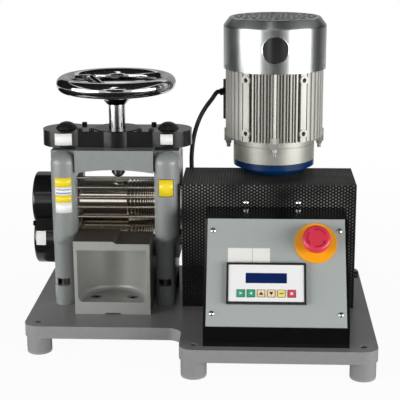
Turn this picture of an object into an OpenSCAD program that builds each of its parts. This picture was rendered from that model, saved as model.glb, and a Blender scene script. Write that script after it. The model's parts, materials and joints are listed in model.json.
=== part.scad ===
// Electric rolling mill for the jewellery bench. Two rolls with a hand-set gap stand on a cast
// base, and a worm gear motor turns the lower one. All lengths are in millimetres, +Z is up, -Y
// is the front, and the origin lies under the middle of the base, on the bench.

/* [Base] */
// Length of the base casting
base_w = 513; // [505:1:560]
// Depth of the base casting
base_d = 374; // [368:1:420]
// Thickness of the base casting
plate_t = 19; // [16:0.5:30]
// Radius of the base casting's corners
corner_r = 20.5; // [12:0.5:28]
// Length of the mill side, up to the inner corner
mill_side_w = 234.5; // [228:0.5:238]
// Setback of the mill side's front edge
mill_side_setback = 82; // [60:1:95]
// Diameter of a foot
foot_d = 37; // [32:1:40]
// Height of a foot
foot_h = 27; // [15:1:40]
// Distance of a foot's axis from the edges
foot_inset = 20.5; // [20:0.5:26]
// Diameter of the bench bolt holes
bolt_d = 11; // [8:0.5:14]

/* [Rolls] */
// Diameter of the rolls
roll_d = 60; // [54:0.5:64]
// Gap between the rolls as shown
roll_gap = 1; // [0.8:0.1:2]
// Height of the lower roll's axis above the base casting
roll_h = 94.8; // [92:0.2:104]
// Distance of the roll axes behind the base's front edge
roll_setback = 230; // [223:1:235]
// Diameter of the roll necks
neck_d = 32; // [28:0.5:34]
// Clearance between a roll's end and a cheek
side_clear = 1; // [0.5:0.1:1.5]
// Number of wire grooves
groove_n = 10; // [4:1:11]
// Width of the widest wire groove
groove_w = 5.4; // [4:0.1:6]
// Share of its width that each groove keeps from the one before
groove_ratio = 0.86; // [0.8:0.01:0.9]
// Width of the land between grooves
groove_land = 1.1; // [0.8:0.1:1.5]

/* [Roll gears] */
// Number of teeth of a roll gear
roll_gear_z = 12; // [12:1:12]
// Width of the roll gears
roll_gear_w = 18; // [12:0.5:19]
// Diameter of the gear seats on the rolls
gear_seat_d = 24; // [20:0.5:26]
// Wall of the gear cover
gear_cover_t = 2.5; // [2:0.25:3]
// Length of the gear cover
gear_cover_w = 31.5; // [29:0.25:31.75]

/* [Mill frame] */
// Distance of the mill's middle from the base's left edge
mill_inset = 129; // [128:0.5:131]
// Diameter of the frame columns
col_d = 38; // [36:0.5:40]
// Distance between the front and back columns
col_span = 84; // [82:0.5:88]
// Width of the windows that guide the chocks
window_w = 56; // [54:0.5:58]
// Height of a chock
chock_h = 52; // [50:0.5:54]
// Width of a chock along the roll
chock_t = 34; // [30:0.5:36]
// Wall of the bearing bushes
bush_t = 5; // [3:0.25:5.5]
// Room over the upper chocks
screw_room = 18; // [14:0.5:24]
// Diameter of the column legs
leg_d = 30; // [27:0.5:32]
// Height of the column feet
boss_h = 31; // [24:1:34]
// Diameter of the column feet
boss_d = 31; // [28:0.5:33]
// Height of the screw pockets over the column feet
pocket_h = 12; // [11:0.5:16]
// Height at which the columns start to taper
taper_top = 118; // [110:1:124]
// Length of the taper
taper_h = 22; // [16:1:28]
// Height of the bridge
bridge_h = 34.5; // [30:0.5:38]
// Depth of the bridge
bridge_d = 110; // [100:1:116]
// Rise of the arch under the bridge
arch_rise = 5; // [2:0.5:8]
// Diameter of the finger guard rods
rod_d = 5; // [4:0.25:7]
// Number of finger guard rods
rod_n = 5; // [3:1:5]
// Distance between the rods
rod_pitch = 15.2; // [14:0.1:16]

/* [Gap drive] */
// Module of the gap gears
gear_m = 2; // [1.95:0.05:2.05]
// Teeth of the handwheel pinion
pinion_z = 24; // [24:2:24]
// Teeth of the idlers and the screw gears
idler_z = 18; // [18:2:18]
// Width of the pinion and the idlers
gear_h = 15; // [14:0.5:16]
// Width of the screw gears
screw_gear_h = 9; // [8:0.5:9.5]
// Diameter of the pressure screws
screw_d = 20; // [16:0.5:22]
// Diameter of the idler pins
pin_d = 10; // [8:0.5:12]
// Diameter of the wheel shaft
shaft_d = 25.5; // [22:0.5:28]
// Diameter of the shaft's lower journal
journal_d = 18; // [14:0.5:20]
// Height of the gear housing on top
cover_h = 24; // [23.5:0.25:26]
// Wall of the gear housing's roof
cover_t = 3; // [2.5:0.25:3.5]
// Radius of the gear housing's ends
cover_r = 36; // [32:0.5:38]
// Half depth of the gear housing's waist
waist_r = 29; // [29:0.5:31]
// Diameter of the bearing disc
disc_d = 70.6; // [60:0.2:74]
// Thickness of the bearing disc
disc_t = 1; // [0.5:0.25:4]
// Diameter of the screw caps
cap_d = 33; // [28:0.5:36]

/* [Handwheel] */
// Outer diameter of the handwheel
wheel_d = 181; // [160:1:190]
// Diameter of the rim's tube
rim_d = 23.5; // [18:0.5:26]
// Length of bare shaft under the hub
shaft_rise = 36.5; // [25:0.5:60]
// Height of the rim over the hub's underside
rim_rise = 32; // [26:0.5:40]
// Diameter of the hub
hub_d = 45; // [38:0.5:50]
// Diameter of a spoke
spoke_d = 15; // [10:0.5:17]
// Number of spokes
spoke_n = 3; // [3:1:5]

/* [Feed table] */
// Height of the table's flat side
table_h = 114; // [112:0.5:116]
// Drop of the table in front of the wire grooves
table_step = 3.5; // [2:0.5:6]
// Distance of the table's front from the roll axis
table_reach = 94; // [90:1:98]
// Thickness of the table's top
table_t = 13.6; // [11:0.2:15]
// Height of the table's foot
table_foot_h = 19; // [16:0.5:24]
// Thickness of the table's side walls
table_wall = 5; // [4:0.25:8]
// Depth of the round pocket
pocket_d = 58; // [56:0.5:58]
// Distance between the table screws
table_screw_span = 56; // [40:1:64]

/* [Guard] */
// Length of the guard
guard_w = 261; // [252:1:264]
// Depth of the guard
guard_d = 113; // [105:1:116]
// Height of the guard
guard_h = 192.5; // [186:0.5:200]
// Distance of the guard's front from the base's front edge
guard_setback = 174; // [170:0.5:176]
// Thickness of the guard's sheet
sheet_t = 1.5; // [1:0.25:2]

/* [Console] */
// Width of the console
console_w = 204; // [200:1:210]
// Distance of the console from the guard's right side
console_inset = 18; // [12:1:24]
// Distance of the console from the base's front edge
console_margin = 14; // [10:0.5:16]
// Height of the console's front lip
lip_h = 29; // [24:0.5:34]
// Height of the console
console_h = 159; // [152:0.5:166]
// Depth of the console's flat top
console_top_d = 67; // [60:0.5:74]
// Thickness of the console's sheet
console_t = 2; // [1.5:0.25:3]
// Width of the front panel
panel_w = 196; // [190:0.5:198]
// Thickness of the front panel
panel_t = 2.5; // [1.5:0.25:3]
// Width of the display unit
display_w = 112; // [106:1:116]
// Height of the display unit
display_h = 60; // [56:0.5:64]
// Width of the display window
lcd_w = 58; // [50:0.5:62]
// Height of the display window
lcd_h = 15; // [12:0.5:18]
// Width of a key
key_w = 11; // [8:0.25:11.25]
// Distance between the keys
key_pitch = 14.2; // [13.8:0.1:15]
// Diameter of the stop button's collar
collar_d = 60; // [50:1:66]
// Diameter of the stop button's head
stop_d = 40; // [38:0.5:44]

/* [Gear motor] */
// Distance of the motor's axis from the guard's left side
motor_inset = 139; // [135:1:145]
// Centre distance of the worm drive
worm_a = 50; // [50:0.25:51]
// Width of the gearbox along the roll axis
gearbox_w = 92; // [86:1:100]
// Radius of the gearbox round the worm wheel
gearbox_r = 50; // [48:0.5:52]
// Diameter of the gearbox's motor flange
flange_d = 126; // [118:1:132]
// Thickness of the motor flange
flange_t = 9.5; // [8:0.5:14]
// Height of the motor flange over the guard
flange_rise = 10.5; // [2:0.5:14]
// Height of the motor's end shield
shield_h = 36; // [32:0.5:44]
// Height of the finned motor body, up to the cowl
body_h = 105; // [98:0.5:112]
// Diameter over the fins
body_d = 150.5; // [147:0.5:152]
// Diameter of the fan cowl
cowl_d = 157; // [156:0.5:164]
// Height of the fan cowl
cowl_h = 78; // [70:0.5:86]
// Width of the cowl's sloping shoulder
cowl_slope = 12.5; // [8:0.5:13]
// Height of the cowl's sloping shoulder
cowl_slope_h = 9.5; // [6:0.5:14]
// Number of cooling fins
fin_n = 48; // [36:4:60]
// Thickness of a cooling fin
fin_t = 2.4; // [1.6:0.1:3]
// Diameter of the motor shaft
motor_shaft_d = 19; // [16:0.5:22]
// Direction in which the terminal box stands, in degrees
box_a = 130; // [126:1:132]
// Width of the terminal box
box_w = 60; // [54:0.5:62]
// Height of the terminal box
box_h = 64; // [56:0.5:70]
// Distance of the terminal box's lid from the motor's axis
box_reach = 90; // [86:0.5:91]
// Diameter of the motor cable
cable_d = 7; // [5:0.5:8]

/* [Hidden] */
$fn = 64;

// Radial play of a running shaft, play of a seated piece, and gap between sliding flat faces
run_play = 0.05;
seat_play = 0.1;
slide_play = 0.15;
// Length by which a cut passes the face that it opens
cut = 1;
function seated(d) = d + 2 * seat_play;
function running(d) = d + 2 * run_play;

// Places on the base
deck = foot_h + plate_t;
base_left = -base_w / 2;
base_front = -base_d / 2;
mill_front = base_front + mill_side_setback;
inner_corner_x = base_left + mill_side_w;
mill_x = base_left + mill_inset;
roll_y = base_front + roll_setback;
foot_spots = [
    [base_left + foot_inset, mill_front + foot_inset],
    [inner_corner_x + foot_inset, base_front + foot_inset],
    [-base_left - foot_inset, base_front + foot_inset],
    [base_left + foot_inset, -base_front - foot_inset],
    [-base_left - foot_inset, -base_front - foot_inset]
];

// Mill frame, measured from the mill's middle and from the top of the base casting
idler_x = gear_m * (pinion_z + idler_z) / 2;
screw_x = idler_x + gear_m * idler_z;
cheek_in = screw_x - col_d / 2;
cheek_out = screw_x + col_d / 2;
web_inset = 0.5;
roll_len = 2 * (cheek_in - side_clear);
upper_h = roll_h + roll_d + roll_gap;
nip_h = (roll_h + upper_h) / 2;
window_floor = roll_h - chock_h / 2;
window_top = upper_h + chock_h / 2 + screw_room;
bridge_z = window_top + 9;
cover_z = bridge_z + bridge_h;
col_top = cover_z - 2;
leg_shift = (col_d - leg_d) / 2 - 0.4;
boss_shift = leg_shift + 0.3;
frame_screw_d = 10;
frame_screw_head = 16;
frame_screw_head_h = 10;
screw_pocket_w = frame_screw_head + 3;
screw_gap = 4;
frame_screw_len = boss_h + plate_t - screw_gap;
bridge_screw_d = 8;
bridge_screw_head = 13;
bridge_screw_y = 18;
bridge_screw_z = bridge_z + bridge_h * 0.45;
bridge_screw_sink = 9;
bridge_screw_len = 30;
bridge_screw_seat = cheek_out - web_inset - bridge_screw_sink;
bridge_screw_bite = bridge_screw_len - col_d + 2 * web_inset + bridge_screw_sink;
bush_d = neck_d + 2 * (bush_t + run_play);
rod_y = roll_y - col_span / 2 + 2;
rod_seat = 6;
rod_top = bridge_z - 10.5;
spring_d = 10;
spring_wire = 1.6;
spring_seat = 10;
spring_y = window_w / 2 - 9;
spring_turns = 5;
spring_steps = 12;
spring_sides = 6;

// Roll gears and their cover
roll_gear_m = roll_d / roll_gear_z;
roll_gear_pa = 25;
roll_gear_add = 0.85;
roll_gear_ded = 1;
roll_gear_play = 0.6;
roll_gear_tip = roll_d / 2 + roll_gear_add * roll_gear_m;
gear_lift = 4;
gear_cover_r = roll_gear_tip + gear_lift + 0.8 + gear_cover_t;
gear_cover_x = cheek_out + seat_play;
gear_x = gear_cover_x + 3;
gear_web_r = 40;
gear_web_h = 9;
gear_screw_y = gear_web_r - 4;
gear_screw_d = 5;
gear_screw_head = 8;
gear_screw_depth = 10;
gear_web_drop = 5;
gear_web_x = gear_cover_x + gear_cover_w - gear_web_drop;

// Gap drive
gap_gear_play = 0.3;
gap_gear_add = 1;
gap_gear_ded = 1.25;
gear_z0 = cover_z + 3;
screw_gear_z = gear_z0 + 1;
cover_top = cover_z + cover_h;
cover_floor = cover_top - cover_t;
chamber_play = 1;
cover_screw_d = 4.5;
cover_screw_head = 8;
cover_screw_head_h = 4;
cover_screw_len = cover_h + 10;
cover_screw_y = 24.5;
cover_screw_spots = [[54, 1], [54, -1], [36, -1]];
screw_end_d = 13;
screw_end_h = 5;
screw_end_hole = screw_end_d + 3;
spigot_d = shaft_d + 8;
cap_h = 10;
cap_t = 2;
nut_d = 21;
nut_h = 21;
nut_tip = 5;
hub_z = cover_top + disc_t + shaft_rise;
rim_z = hub_z + rim_rise;
rim_r = (wheel_d - rim_d) / 2;
hub_h = 20;
hub_seat_d = shaft_d - 4;
hub_seat_h = hub_h - 5;
spoke_a0 = 130;

// Feed table
table_front = roll_y - table_reach;
table_back = roll_y - roll_d / 2 + 5;
table_shift = -2;
table_half = cheek_in + table_shift;
table_pocket_r = table_half - table_wall;
table_fillet = 8;
table_saddle_d = 45;
table_saddle_h = roll_h - roll_d / 2 + 6;
table_screw_sink = frame_screw_head_h + 0.5;
table_screw_hole = frame_screw_head + 1.5;
roll_clear = 1.2;
table_screw_y = table_front + 25;
table_screw_len = table_foot_h - table_screw_sink + plate_t - screw_gap;
table_notch_w = 23;
table_notch_h = 2;
step_x = 2;
step_run = 5;

// Guard and console
guard_x0 = mill_x + cheek_out + 3.5;
guard_x1 = guard_x0 + guard_w;
guard_front = base_front + guard_setback;
console_x1 = guard_x1 - console_inset;
console_x0 = console_x1 - console_w;
console_cx = (console_x0 + console_x1) / 2;
console_front = base_front + console_margin;
slope_run = guard_front - console_top_d - console_front;
slope_rise = console_h - lip_h;
slope_a = atan2(slope_rise, slope_run);
slope_len = norm([slope_run, slope_rise]);
panel_len = slope_len - 1;
panel_rim = 12;
panel_screw_d = 4;
panel_screw_head = 8;
panel_screw_x = panel_w / 2 - 8;
panel_screw_v = [19, slope_len - 18];
display_x = -14;
display_v = 62;
display_rise = 6;
display_rim = 3;
display_in_w = display_w - 2 * display_rim;
display_in_h = display_h - 2 * display_rim;
display_floor = 3.5;
display_body_w = display_w - 12;
display_body_h = display_h - 10;
display_body_t = 22;
face_t = 1.5;
face_w = display_in_w - 2 * seat_play;
face_h = display_in_h - 2 * seat_play;
lcd_v = 7.5;
lcd_t = 1.2;
key_v = -15;
key_flange = 0.9;
key_flange_t = 0.8;
key_pocket = 2;
key_hole = key_w + 2 * key_flange + 0.6;
key_slot = key_w + 0.5;
key_rise = 0.7;
stop_x = 56;
stop_v = 123;
stop_hole_d = 22.5;
stop_stem_d = 16;
stop_pin_d = stop_stem_d - 4;
stop_pin_h = 3;
stop_neck_d = 29;
stop_neck_h = 10;
stop_nut_h = 6;
stop_travel = 6;
stop_depth = 30;
stop_block = 30;
stop_block_h = 18;
collar_t = 2;
stop_skirt_z = 15.5;
stop_roof_z = 18.5;
stop_top_z = 25;
guard_screw_x = 39;
guard_screw_z = console_h + 6;
guard_screw_d = 4;
guard_screw_len = 8;

// Gear motor
motor_x = guard_x0 + motor_inset;
motor_y = roll_y + worm_a;
shaft_hole_d = 40;
output_d = 26;
coupling_d = output_d + 18;
coupling_gap = 14;
coupling_room = 6;
coupling_flange = 14;
coupling_flange_d = coupling_d + 10;
coupling_slot = 3;
wheel_hub_d = 40;
wheel_tip_r = 38.3;
wheel_face = 20;
bearing_w = 12;
wheel_bearing_d = 60;
worm_d = 22;
worm_h = 48;
worm_neck_d = 16;
worm_bearing_d = 30;
worm_end_h = 46;
key_shaft_d = worm_neck_d - 2;
worm_top = roll_h + worm_end_h + bearing_w + 6;
chamber_r = wheel_tip_r + 4;
chamber_w = wheel_face + 8;
neck_d_box = 64;
neck_cut_d = neck_d_box + 20;
gearbox_back = 28;
gearbox_foot_h = 14;
gearbox_foot_out = 16;
gearbox_foot_inset = 6;
gearbox_foot_y = roll_y - gearbox_r + gearbox_foot_inset;
gearbox_foot_d = motor_y + gearbox_back - gearbox_foot_inset - gearbox_foot_y;
gearbox_bolt_d = 8;
gearbox_bolt_head = 13;
gearbox_bolt_len = gearbox_foot_h + plate_t - screw_gap;
flange_z = guard_h + flange_rise;
shield_z = flange_z + flange_t;
body_z = shield_z + shield_h;
cowl_z = body_z + body_h;
rim_lap = 8;
body_top = cowl_z + rim_lap;
cowl_top = cowl_z + cowl_h;
cowl_t = 1.5;
shield_d = flange_d;
core_r = body_d / 2 - 10;
stator_r = core_r - 6;
stator_bore = 46;
rotor_gap = 0.5;
stator_z = body_z + 14;
stator_h = body_h - 34;
motor_bearing_d = 40;
shield_wall = 8;
lug_r = body_d / 2 + 2;
lug_w = 14;
lug_h = 9;
tie_r = body_d / 2 - 4.5;
tie_d = 6;
tie_head_d = 9;
shield_groove = 11;
tie_head_h = 5;
pad_a = 35;
pad_w = 10;
pad_boss_d = 14;
pad_hole_d = 7;
pad_z = [body_z + 13, cowl_z - 11];
cowl_screw_a = 20;
cowl_screw_d = 4;
cowl_screw_head = 7;
grille_r0 = 14;
grille_pitch = 9;
grille_slot = 5;
grille_rings = 6;
grille_ribs = 6;
grille_rib_w = 4;
fan_r = 60;
fan_h = 24;
fan_z = body_top + 8;
fan_blades = 8;
fan_blade_t = 2.5;
fan_hub_d = 34;
fan_seat_d = motor_shaft_d - 4;
box_z = body_z + 15;
box_seat = body_d / 2 - 6.5;
box_lid_t = 4;
box_rim = 5;
gland_d = 14;
gland_len = 13;
gland_bore = 9;
cable_seat = 6;
gland_z = box_z + box_h - 18;

// Drive unit inside the console
drive_w = 90;
drive_d = 70;
drive_h = 62;
drive_gap = 18;
drive_fins = 9;
drive_fin_h = 14;

// Motor cable, from the terminal box's gland, behind the guard and along the base to the guard's front
gland_mouth = [
    motor_x + (box_seat + box_reach) / 2 * cos(box_a) - (box_w / 2 + gland_len) * sin(box_a),
    motor_y + (box_seat + box_reach) / 2 * sin(box_a) + (box_w / 2 + gland_len) * cos(box_a),
    gland_z
];
wall_gland_x = 57;
wall_gland = [guard_x0 + wall_gland_x, guard_front + sheet_t + gland_len, 16];
cable_home = [guard_x0, roll_y, 0];
cable_route = [
    [41, 75, 299], [31, 70, 286], [22, 66, 270], [15, 64, 250], [11, 63, 230],
    [9, 63, 208], [9, 63, 185], [9, 63, 120], [9, 63, 50], [9, 60, 30],
    [9, 51, 19], [9, 37, 16], [10, 15, 16], [17, -1, 16], [31, -12, 16], [47, -21, 16]
];
gland_lead = 8;
wall_lead = 10;
gland_way = [-sin(box_a), cos(box_a), 0];
wall_way = [0, 1, 0];
cable_points = concat(
    [gland_mouth - cable_seat * gland_way, gland_mouth, gland_mouth + gland_lead * gland_way],
    [for (p = cable_route) cable_home + p],
    [wall_gland + wall_lead * wall_way, wall_gland, wall_gland - cable_seat * wall_way]
);
cable_steps = 3;
cable_sides = 10;
mains_gland = [guard_x1, roll_y + 27, 26];

// Curves: a smooth curve through points, and a round tube swept along points
function unit(v) = v / norm(v);
function between(a, b, c, d, t) =
    0.5 * (2 * b + (c - a) * t + (2 * a - 5 * b + 4 * c - d) * t * t + (3 * b - a - 3 * c + d) * t * t * t);
function smooth(p, steps) = concat(
    [for (i = [0:len(p) - 2], k = [0:steps - 1])
        between(p[max(i - 1, 0)], p[i], p[i + 1], p[min(i + 2, len(p) - 1)], k / steps)],
    [p[len(p) - 1]]
);
function tangents(p) = [for (i = [0:len(p) - 1]) unit(p[min(i + 1, len(p) - 1)] - p[max(i - 1, 0)])];
function first_normal(t) = unit(cross(t, abs(t[2]) < 0.9 ? [0, 0, 1] : [1, 0, 0]));
function carried(n, t) = unit(n - (n * t) * t);
function normals(t) = [
    for (i = 0, n = first_normal(t[0]); i < len(t); i = i + 1, n = i < len(t) ? carried(n, t[i]) : n) n
];
function tube_points(p, r, sides) =
    let (t = tangents(p), n = normals(t))
    [for (i = [0:len(p) - 1], k = [0:sides - 1])
        p[i] + r * (cos(360 * k / sides) * n[i] + sin(360 * k / sides) * cross(t[i], n[i]))];
function tube_faces(rings, sides) = concat(
    [for (k = [1:sides - 2]) [0, k, k + 1]],
    [for (i = [0:rings - 2], k = [0:sides - 1])
        [i * sides + k, (i + 1) * sides + k, i * sides + (k + 1) % sides]],
    [for (i = [0:rings - 2], k = [0:sides - 1])
        [i * sides + (k + 1) % sides, (i + 1) * sides + k, (i + 1) * sides + (k + 1) % sides]],
    [for (k = [1:sides - 2]) [(rings - 1) * sides, (rings - 1) * sides + k + 1, (rings - 1) * sides + k]]
);

// Involute gear outline with a tooth pointing along +X
function roll_deg(rb, r) = sqrt(max(r * r / (rb * rb) - 1, 0)) * 180 / PI;
function inv_deg(rb, r) = roll_deg(rb, r) - atan(roll_deg(rb, r) * PI / 180);
function tooth_half(z, m, pa, play, r) =
    let (pitch_r = m * z / 2, rb = pitch_r * cos(pa))
    (PI * m / 2 - play) / (2 * pitch_r) * 180 / PI + inv_deg(rb, pitch_r) - inv_deg(rb, max(r, rb));
function tooth_radii(z, m, pa, add, ded) =
    let (rb = m * z / 2 * cos(pa),
         root = m * (z / 2 - ded),
         tip = m * (z / 2 + add),
         foot = max(rb, root + 0.1))
    [root, foot, foot + (tip - foot) * 0.35, foot + (tip - foot) * 0.7, tip];
module gear_2d(z, m, pa, play, add, ded) {
    radii = tooth_radii(z, m, pa, add, ded);
    last = len(radii) - 1;
    polygon([
        for (i = [0:z - 1], k = [0:2 * last + 1])
            let (j = k <= last ? k : 2 * last + 1 - k,
                 side = k <= last ? -1 : 1,
                 a = 360 * i / z + side * tooth_half(z, m, pa, play, radii[j]))
            radii[j] * [cos(a), sin(a)]
    ]);
}

// Shapes that repeat
module corner_rect(x0, y0, x1, y1, r) {
    translate([x0 + r, y0]) square([x1 - x0 - 2 * r, y1 - y0]);
    translate([x0, y0 + r]) square([x1 - x0, y1 - y0 - 2 * r]);
    for (x = [x0 + r, x1 - r], y = [y0 + r, y1 - r]) translate([x, y]) circle(r);
}
module rod_x(x0, x1, y, z, d) {
    translate([x0, y, z]) rotate([0, 90, 0]) cylinder(d = d, h = x1 - x0);
}
module rod_z(x, y, z0, z1, d) {
    translate([x, y, z0]) cylinder(d = d, h = z1 - z0);
}
module ring_z(z0, z1, d_out, d_in) {
    translate([0, 0, z0]) linear_extrude(z1 - z0) difference() {
        circle(d = d_out);
        circle(d = d_in);
    }
}
module along_x(x0, x1) {
    translate([x0, 0, 0]) rotate([90, 0, 90]) linear_extrude(x1 - x0) children();
}
module along_y(y0, y1) {
    translate([0, y1, 0]) rotate([90, 0, 0]) linear_extrude(y1 - y0) children();
}
module cap_screw(d, head_d, head_h, len) {
    difference() {
        union() {
            cylinder(d = head_d, h = head_h);
            translate([0, 0, -len]) cylinder(d = d, h = len + head_h / 2);
        }
        translate([0, 0, head_h * 0.45]) cylinder(d = head_d * 0.55, h = head_h, $fn = 6);
    }
}
module pan_screw(d, head_d, len) {
    translate([0, 0, -len]) cylinder(d = d, h = len + head_d / 8);
    difference() {
        ball_r = head_d * 0.625;
        translate([0, 0, head_d / 4 - ball_r]) sphere(ball_r);
        translate([0, 0, -2 * head_d]) cylinder(d = 4 * head_d, h = 2 * head_d);
    }
}
module on_deck() {
    translate([0, 0, deck]) children();
}
module at_mill() {
    translate([mill_x, 0, deck]) children();
}
module both_cheeks() {
    at_mill() {
        children();
        mirror([1, 0, 0]) children();
    }
}
module at_motor() {
    translate([motor_x, motor_y, deck]) children();
}
module on_panel() {
    translate([console_cx, console_front, deck + lip_h]) rotate([slope_a, 0, 0]) children();
}
module at_display() {
    on_panel() translate([display_x, display_v, panel_t]) children();
}
module at_stop() {
    on_panel() translate([stop_x, stop_v, panel_t]) children();
}
module at_column_feet() {
    for (x = [-1, 1], y = [-1, 1])
        at_mill() translate([x * screw_x - boss_shift, roll_y + y * col_span / 2, boss_h]) children();
}
module at_table() {
    at_mill() translate([table_shift, 0, 0]) children();
}
module at_table_screws() {
    for (x = [-1, 1]) at_table()
        translate([x * table_screw_span / 2, table_screw_y, table_foot_h - table_screw_sink]) children();
}
module at_gearbox_bolts() {
    for (x = [-1, 1], y = [roll_y - gearbox_r + 14, motor_y + gearbox_back - 14])
        translate([motor_x + x * (gearbox_w + gearbox_foot_out) / 2, y, deck + gearbox_foot_h]) children();
}
module at_panel_screws() {
    for (x = [-1, 1], v = panel_screw_v) on_panel() translate([x * panel_screw_x, v, panel_t]) children();
}
module at_guard_screws() {
    for (x = [-1, 1]) on_deck() translate([console_cx + x * guard_screw_x - 5, guard_front, guard_screw_z])
        rotate([90, 0, 0]) children();
}
module at_cover_screws() {
    for (x = [-1, 1], s = cover_screw_spots)
        at_mill() translate([x * s[0], roll_y + s[1] * cover_screw_y, cover_top]) children();
}
module at_gear_screws() {
    for (y = [-1, 1]) at_mill() translate([-gear_web_x, roll_y + y * gear_screw_y, nip_h])
        rotate([0, -90, 0]) children();
}

// Base casting and feet
module base_outline() {
    corner_rect(base_left, mill_front, -base_left, -base_front, corner_r);
    corner_rect(inner_corner_x, base_front, -base_left, -base_front, corner_r);
    translate([inner_corner_x - corner_r, mill_front - corner_r]) difference() {
        square(corner_r);
        circle(corner_r);
    }
}
module base_plate() {
    color("dimgray") difference() {
        translate([0, 0, foot_h]) linear_extrude(plate_t) base_outline();
        for (s = foot_spots) rod_z(s[0], s[1], foot_h - cut, deck + cut, bolt_d);
        at_column_feet() rod_z(0, 0, -frame_screw_len - cut, 0, seated(frame_screw_d));
        at_table_screws() rod_z(0, 0, -table_screw_len - cut, 0, seated(frame_screw_d));
        at_gearbox_bolts() rod_z(0, 0, -gearbox_foot_h - plate_t + 3, 0, seated(gearbox_bolt_d));
    }
}
module feet() {
    color("gray") for (s = foot_spots) translate([s[0], s[1], 0]) difference() {
        cylinder(d = foot_d, h = foot_h);
        translate([0, 0, -cut]) cylinder(d = bolt_d, h = foot_h + 2 * cut);
    }
}

// Mill frame
module column(way) {
    taper_bottom = taper_top - taper_h;
    flare_r = col_d / 2 + leg_shift + 1;
    leg_foot = boss_h - cut;
    intersection() {
        rotate_extrude() {
            translate([0, leg_foot]) square([col_d / 2, col_top - col_d / 2 - leg_foot]);
            intersection() {
                translate([0, col_top - col_d / 2]) circle(d = col_d);
                translate([0, leg_foot]) square([col_d, col_top]);
            }
        }
        translate([way * leg_shift, 0, 0]) rotate_extrude() polygon([
            [0, leg_foot - cut], [leg_d / 2, leg_foot - cut], [leg_d / 2, taper_bottom],
            [flare_r, taper_top], [flare_r, col_top + cut], [0, col_top + cut]
        ]);
    }
    translate([way * boss_shift, 0, 0]) cylinder(d = boss_d, h = boss_h);
}
module screw_pocket() {
    circle(d = screw_pocket_w);
    translate([-screw_pocket_w / 2, 0]) square([screw_pocket_w, col_d]);
}
module cheek(way) {
    web_half = col_d / 2 - web_inset;
    leg_in = way * leg_shift - leg_d / 2 + web_inset;
    leg_out = way * leg_shift + leg_d / 2 - web_inset;
    difference() {
        union() {
            for (y = [-1, 1]) translate([screw_x, roll_y + y * col_span / 2, 0]) column(way);
            along_y(roll_y - col_span / 2, roll_y + col_span / 2) translate([screw_x, 0]) polygon([
                [leg_in, boss_h], [leg_in, taper_top - taper_h],
                [-web_half, taper_top], [-web_half, col_top - web_inset],
                [web_half, col_top - web_inset], [web_half, taper_top],
                [leg_out, taper_top - taper_h], [leg_out, boss_h]
            ]);
        }
        translate([screw_x - col_d, roll_y - window_w / 2, window_floor])
            cube([2 * col_d, window_w, window_top - window_floor]);
        rod_z(screw_x, roll_y, window_top - cut, col_top + cut, running(screw_d));
        for (i = [0:rod_n - 1])
            rod_x(cheek_in - cut, cheek_in + rod_seat + slide_play,
                rod_y, rod_top - i * rod_pitch, seated(rod_d));
        for (y = [-1, 1]) {
            rod_x(cheek_in - cut, cheek_out + cut,
                roll_y + y * bridge_screw_y, bridge_screw_z, seated(bridge_screw_d));
            rod_x(bridge_screw_seat, cheek_out + cut,
                roll_y + y * bridge_screw_y, bridge_screw_z, bridge_screw_head + 1);
            translate([screw_x + way * boss_shift, roll_y + y * col_span / 2, 0]) {
                rod_z(0, 0, -cut, boss_h + cut, seated(frame_screw_d));
                translate([0, 0, boss_h]) rotate(90 * (1 - y)) linear_extrude(pocket_h) screw_pocket();
            }
        }
    }
}
module left_cheek() {
    color("darkgray") at_mill() difference() {
        mirror([1, 0, 0]) cheek(1);
        for (y = [-1, 1])
            rod_x(-cheek_out - cut, -cheek_out + gear_screw_depth + cut,
                roll_y + y * gear_screw_y, nip_h, seated(gear_screw_d));
    }
}
module right_cheek() {
    color("darkgray") at_mill() cheek(-1);
}
module top_bridge() {
    arch_r = (cheek_in * cheek_in + arch_rise * arch_rise) / (2 * arch_rise);
    tenon = cheek_in + web_inset;
    color("darkgray") at_mill() {
        difference() {
            union() {
                translate([-cheek_in + slide_play, roll_y - bridge_d / 2, bridge_z])
                    cube([2 * (cheek_in - slide_play), bridge_d, bridge_h]);
                translate([-tenon, roll_y - bridge_screw_y - bridge_screw_d, bridge_z])
                    cube([2 * tenon, 2 * (bridge_screw_y + bridge_screw_d), bridge_h - 4]);
            }
            along_y(roll_y - bridge_d, roll_y + bridge_d)
                translate([0, bridge_z + arch_rise - arch_r]) circle(arch_r, $fn = 180);
            rod_z(0, roll_y, bridge_z - cut, cover_z + cut, running(journal_d));
            for (x = [-1, 1], y = [-1, 1])
                translate([x * tenon, roll_y + y * bridge_screw_y, bridge_screw_z]) rotate([0, -x * 90, 0])
                    rod_z(0, 0, -cut, bridge_screw_bite, seated(bridge_screw_d));
            for (x = [-1, 1], s = cover_screw_spots)
                rod_z(x * s[0], roll_y + s[1] * cover_screw_y,
                    cover_top - cover_screw_len - cut, cover_z + cut, seated(cover_screw_d));
        }
        for (x = [-1, 1]) rod_z(x * idler_x, roll_y, cover_z - 2, gear_z0 + gear_h + 1.5, pin_d);
    }
}
module frame_screws() {
    color("silver") {
        at_column_feet()
            cap_screw(frame_screw_d, frame_screw_head, frame_screw_head_h, frame_screw_len);
        at_table_screws()
            cap_screw(frame_screw_d, frame_screw_head, frame_screw_head_h, table_screw_len);
        both_cheeks() for (y = [-1, 1])
            translate([bridge_screw_seat, roll_y + y * bridge_screw_y, bridge_screw_z])
                rotate([0, 90, 0])
                    cap_screw(bridge_screw_d, bridge_screw_head, bridge_screw_sink - 1, bridge_screw_len);
        at_gearbox_bolts()
            cap_screw(gearbox_bolt_d, gearbox_bolt_head, gearbox_bolt_d, gearbox_bolt_len);
    }
}
module guard_rods() {
    color("silver") for (i = [0:rod_n - 1])
        at_mill() rod_x(-cheek_in - rod_seat, cheek_in + rod_seat, rod_y, rod_top - i * rod_pitch, rod_d);
}

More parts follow.
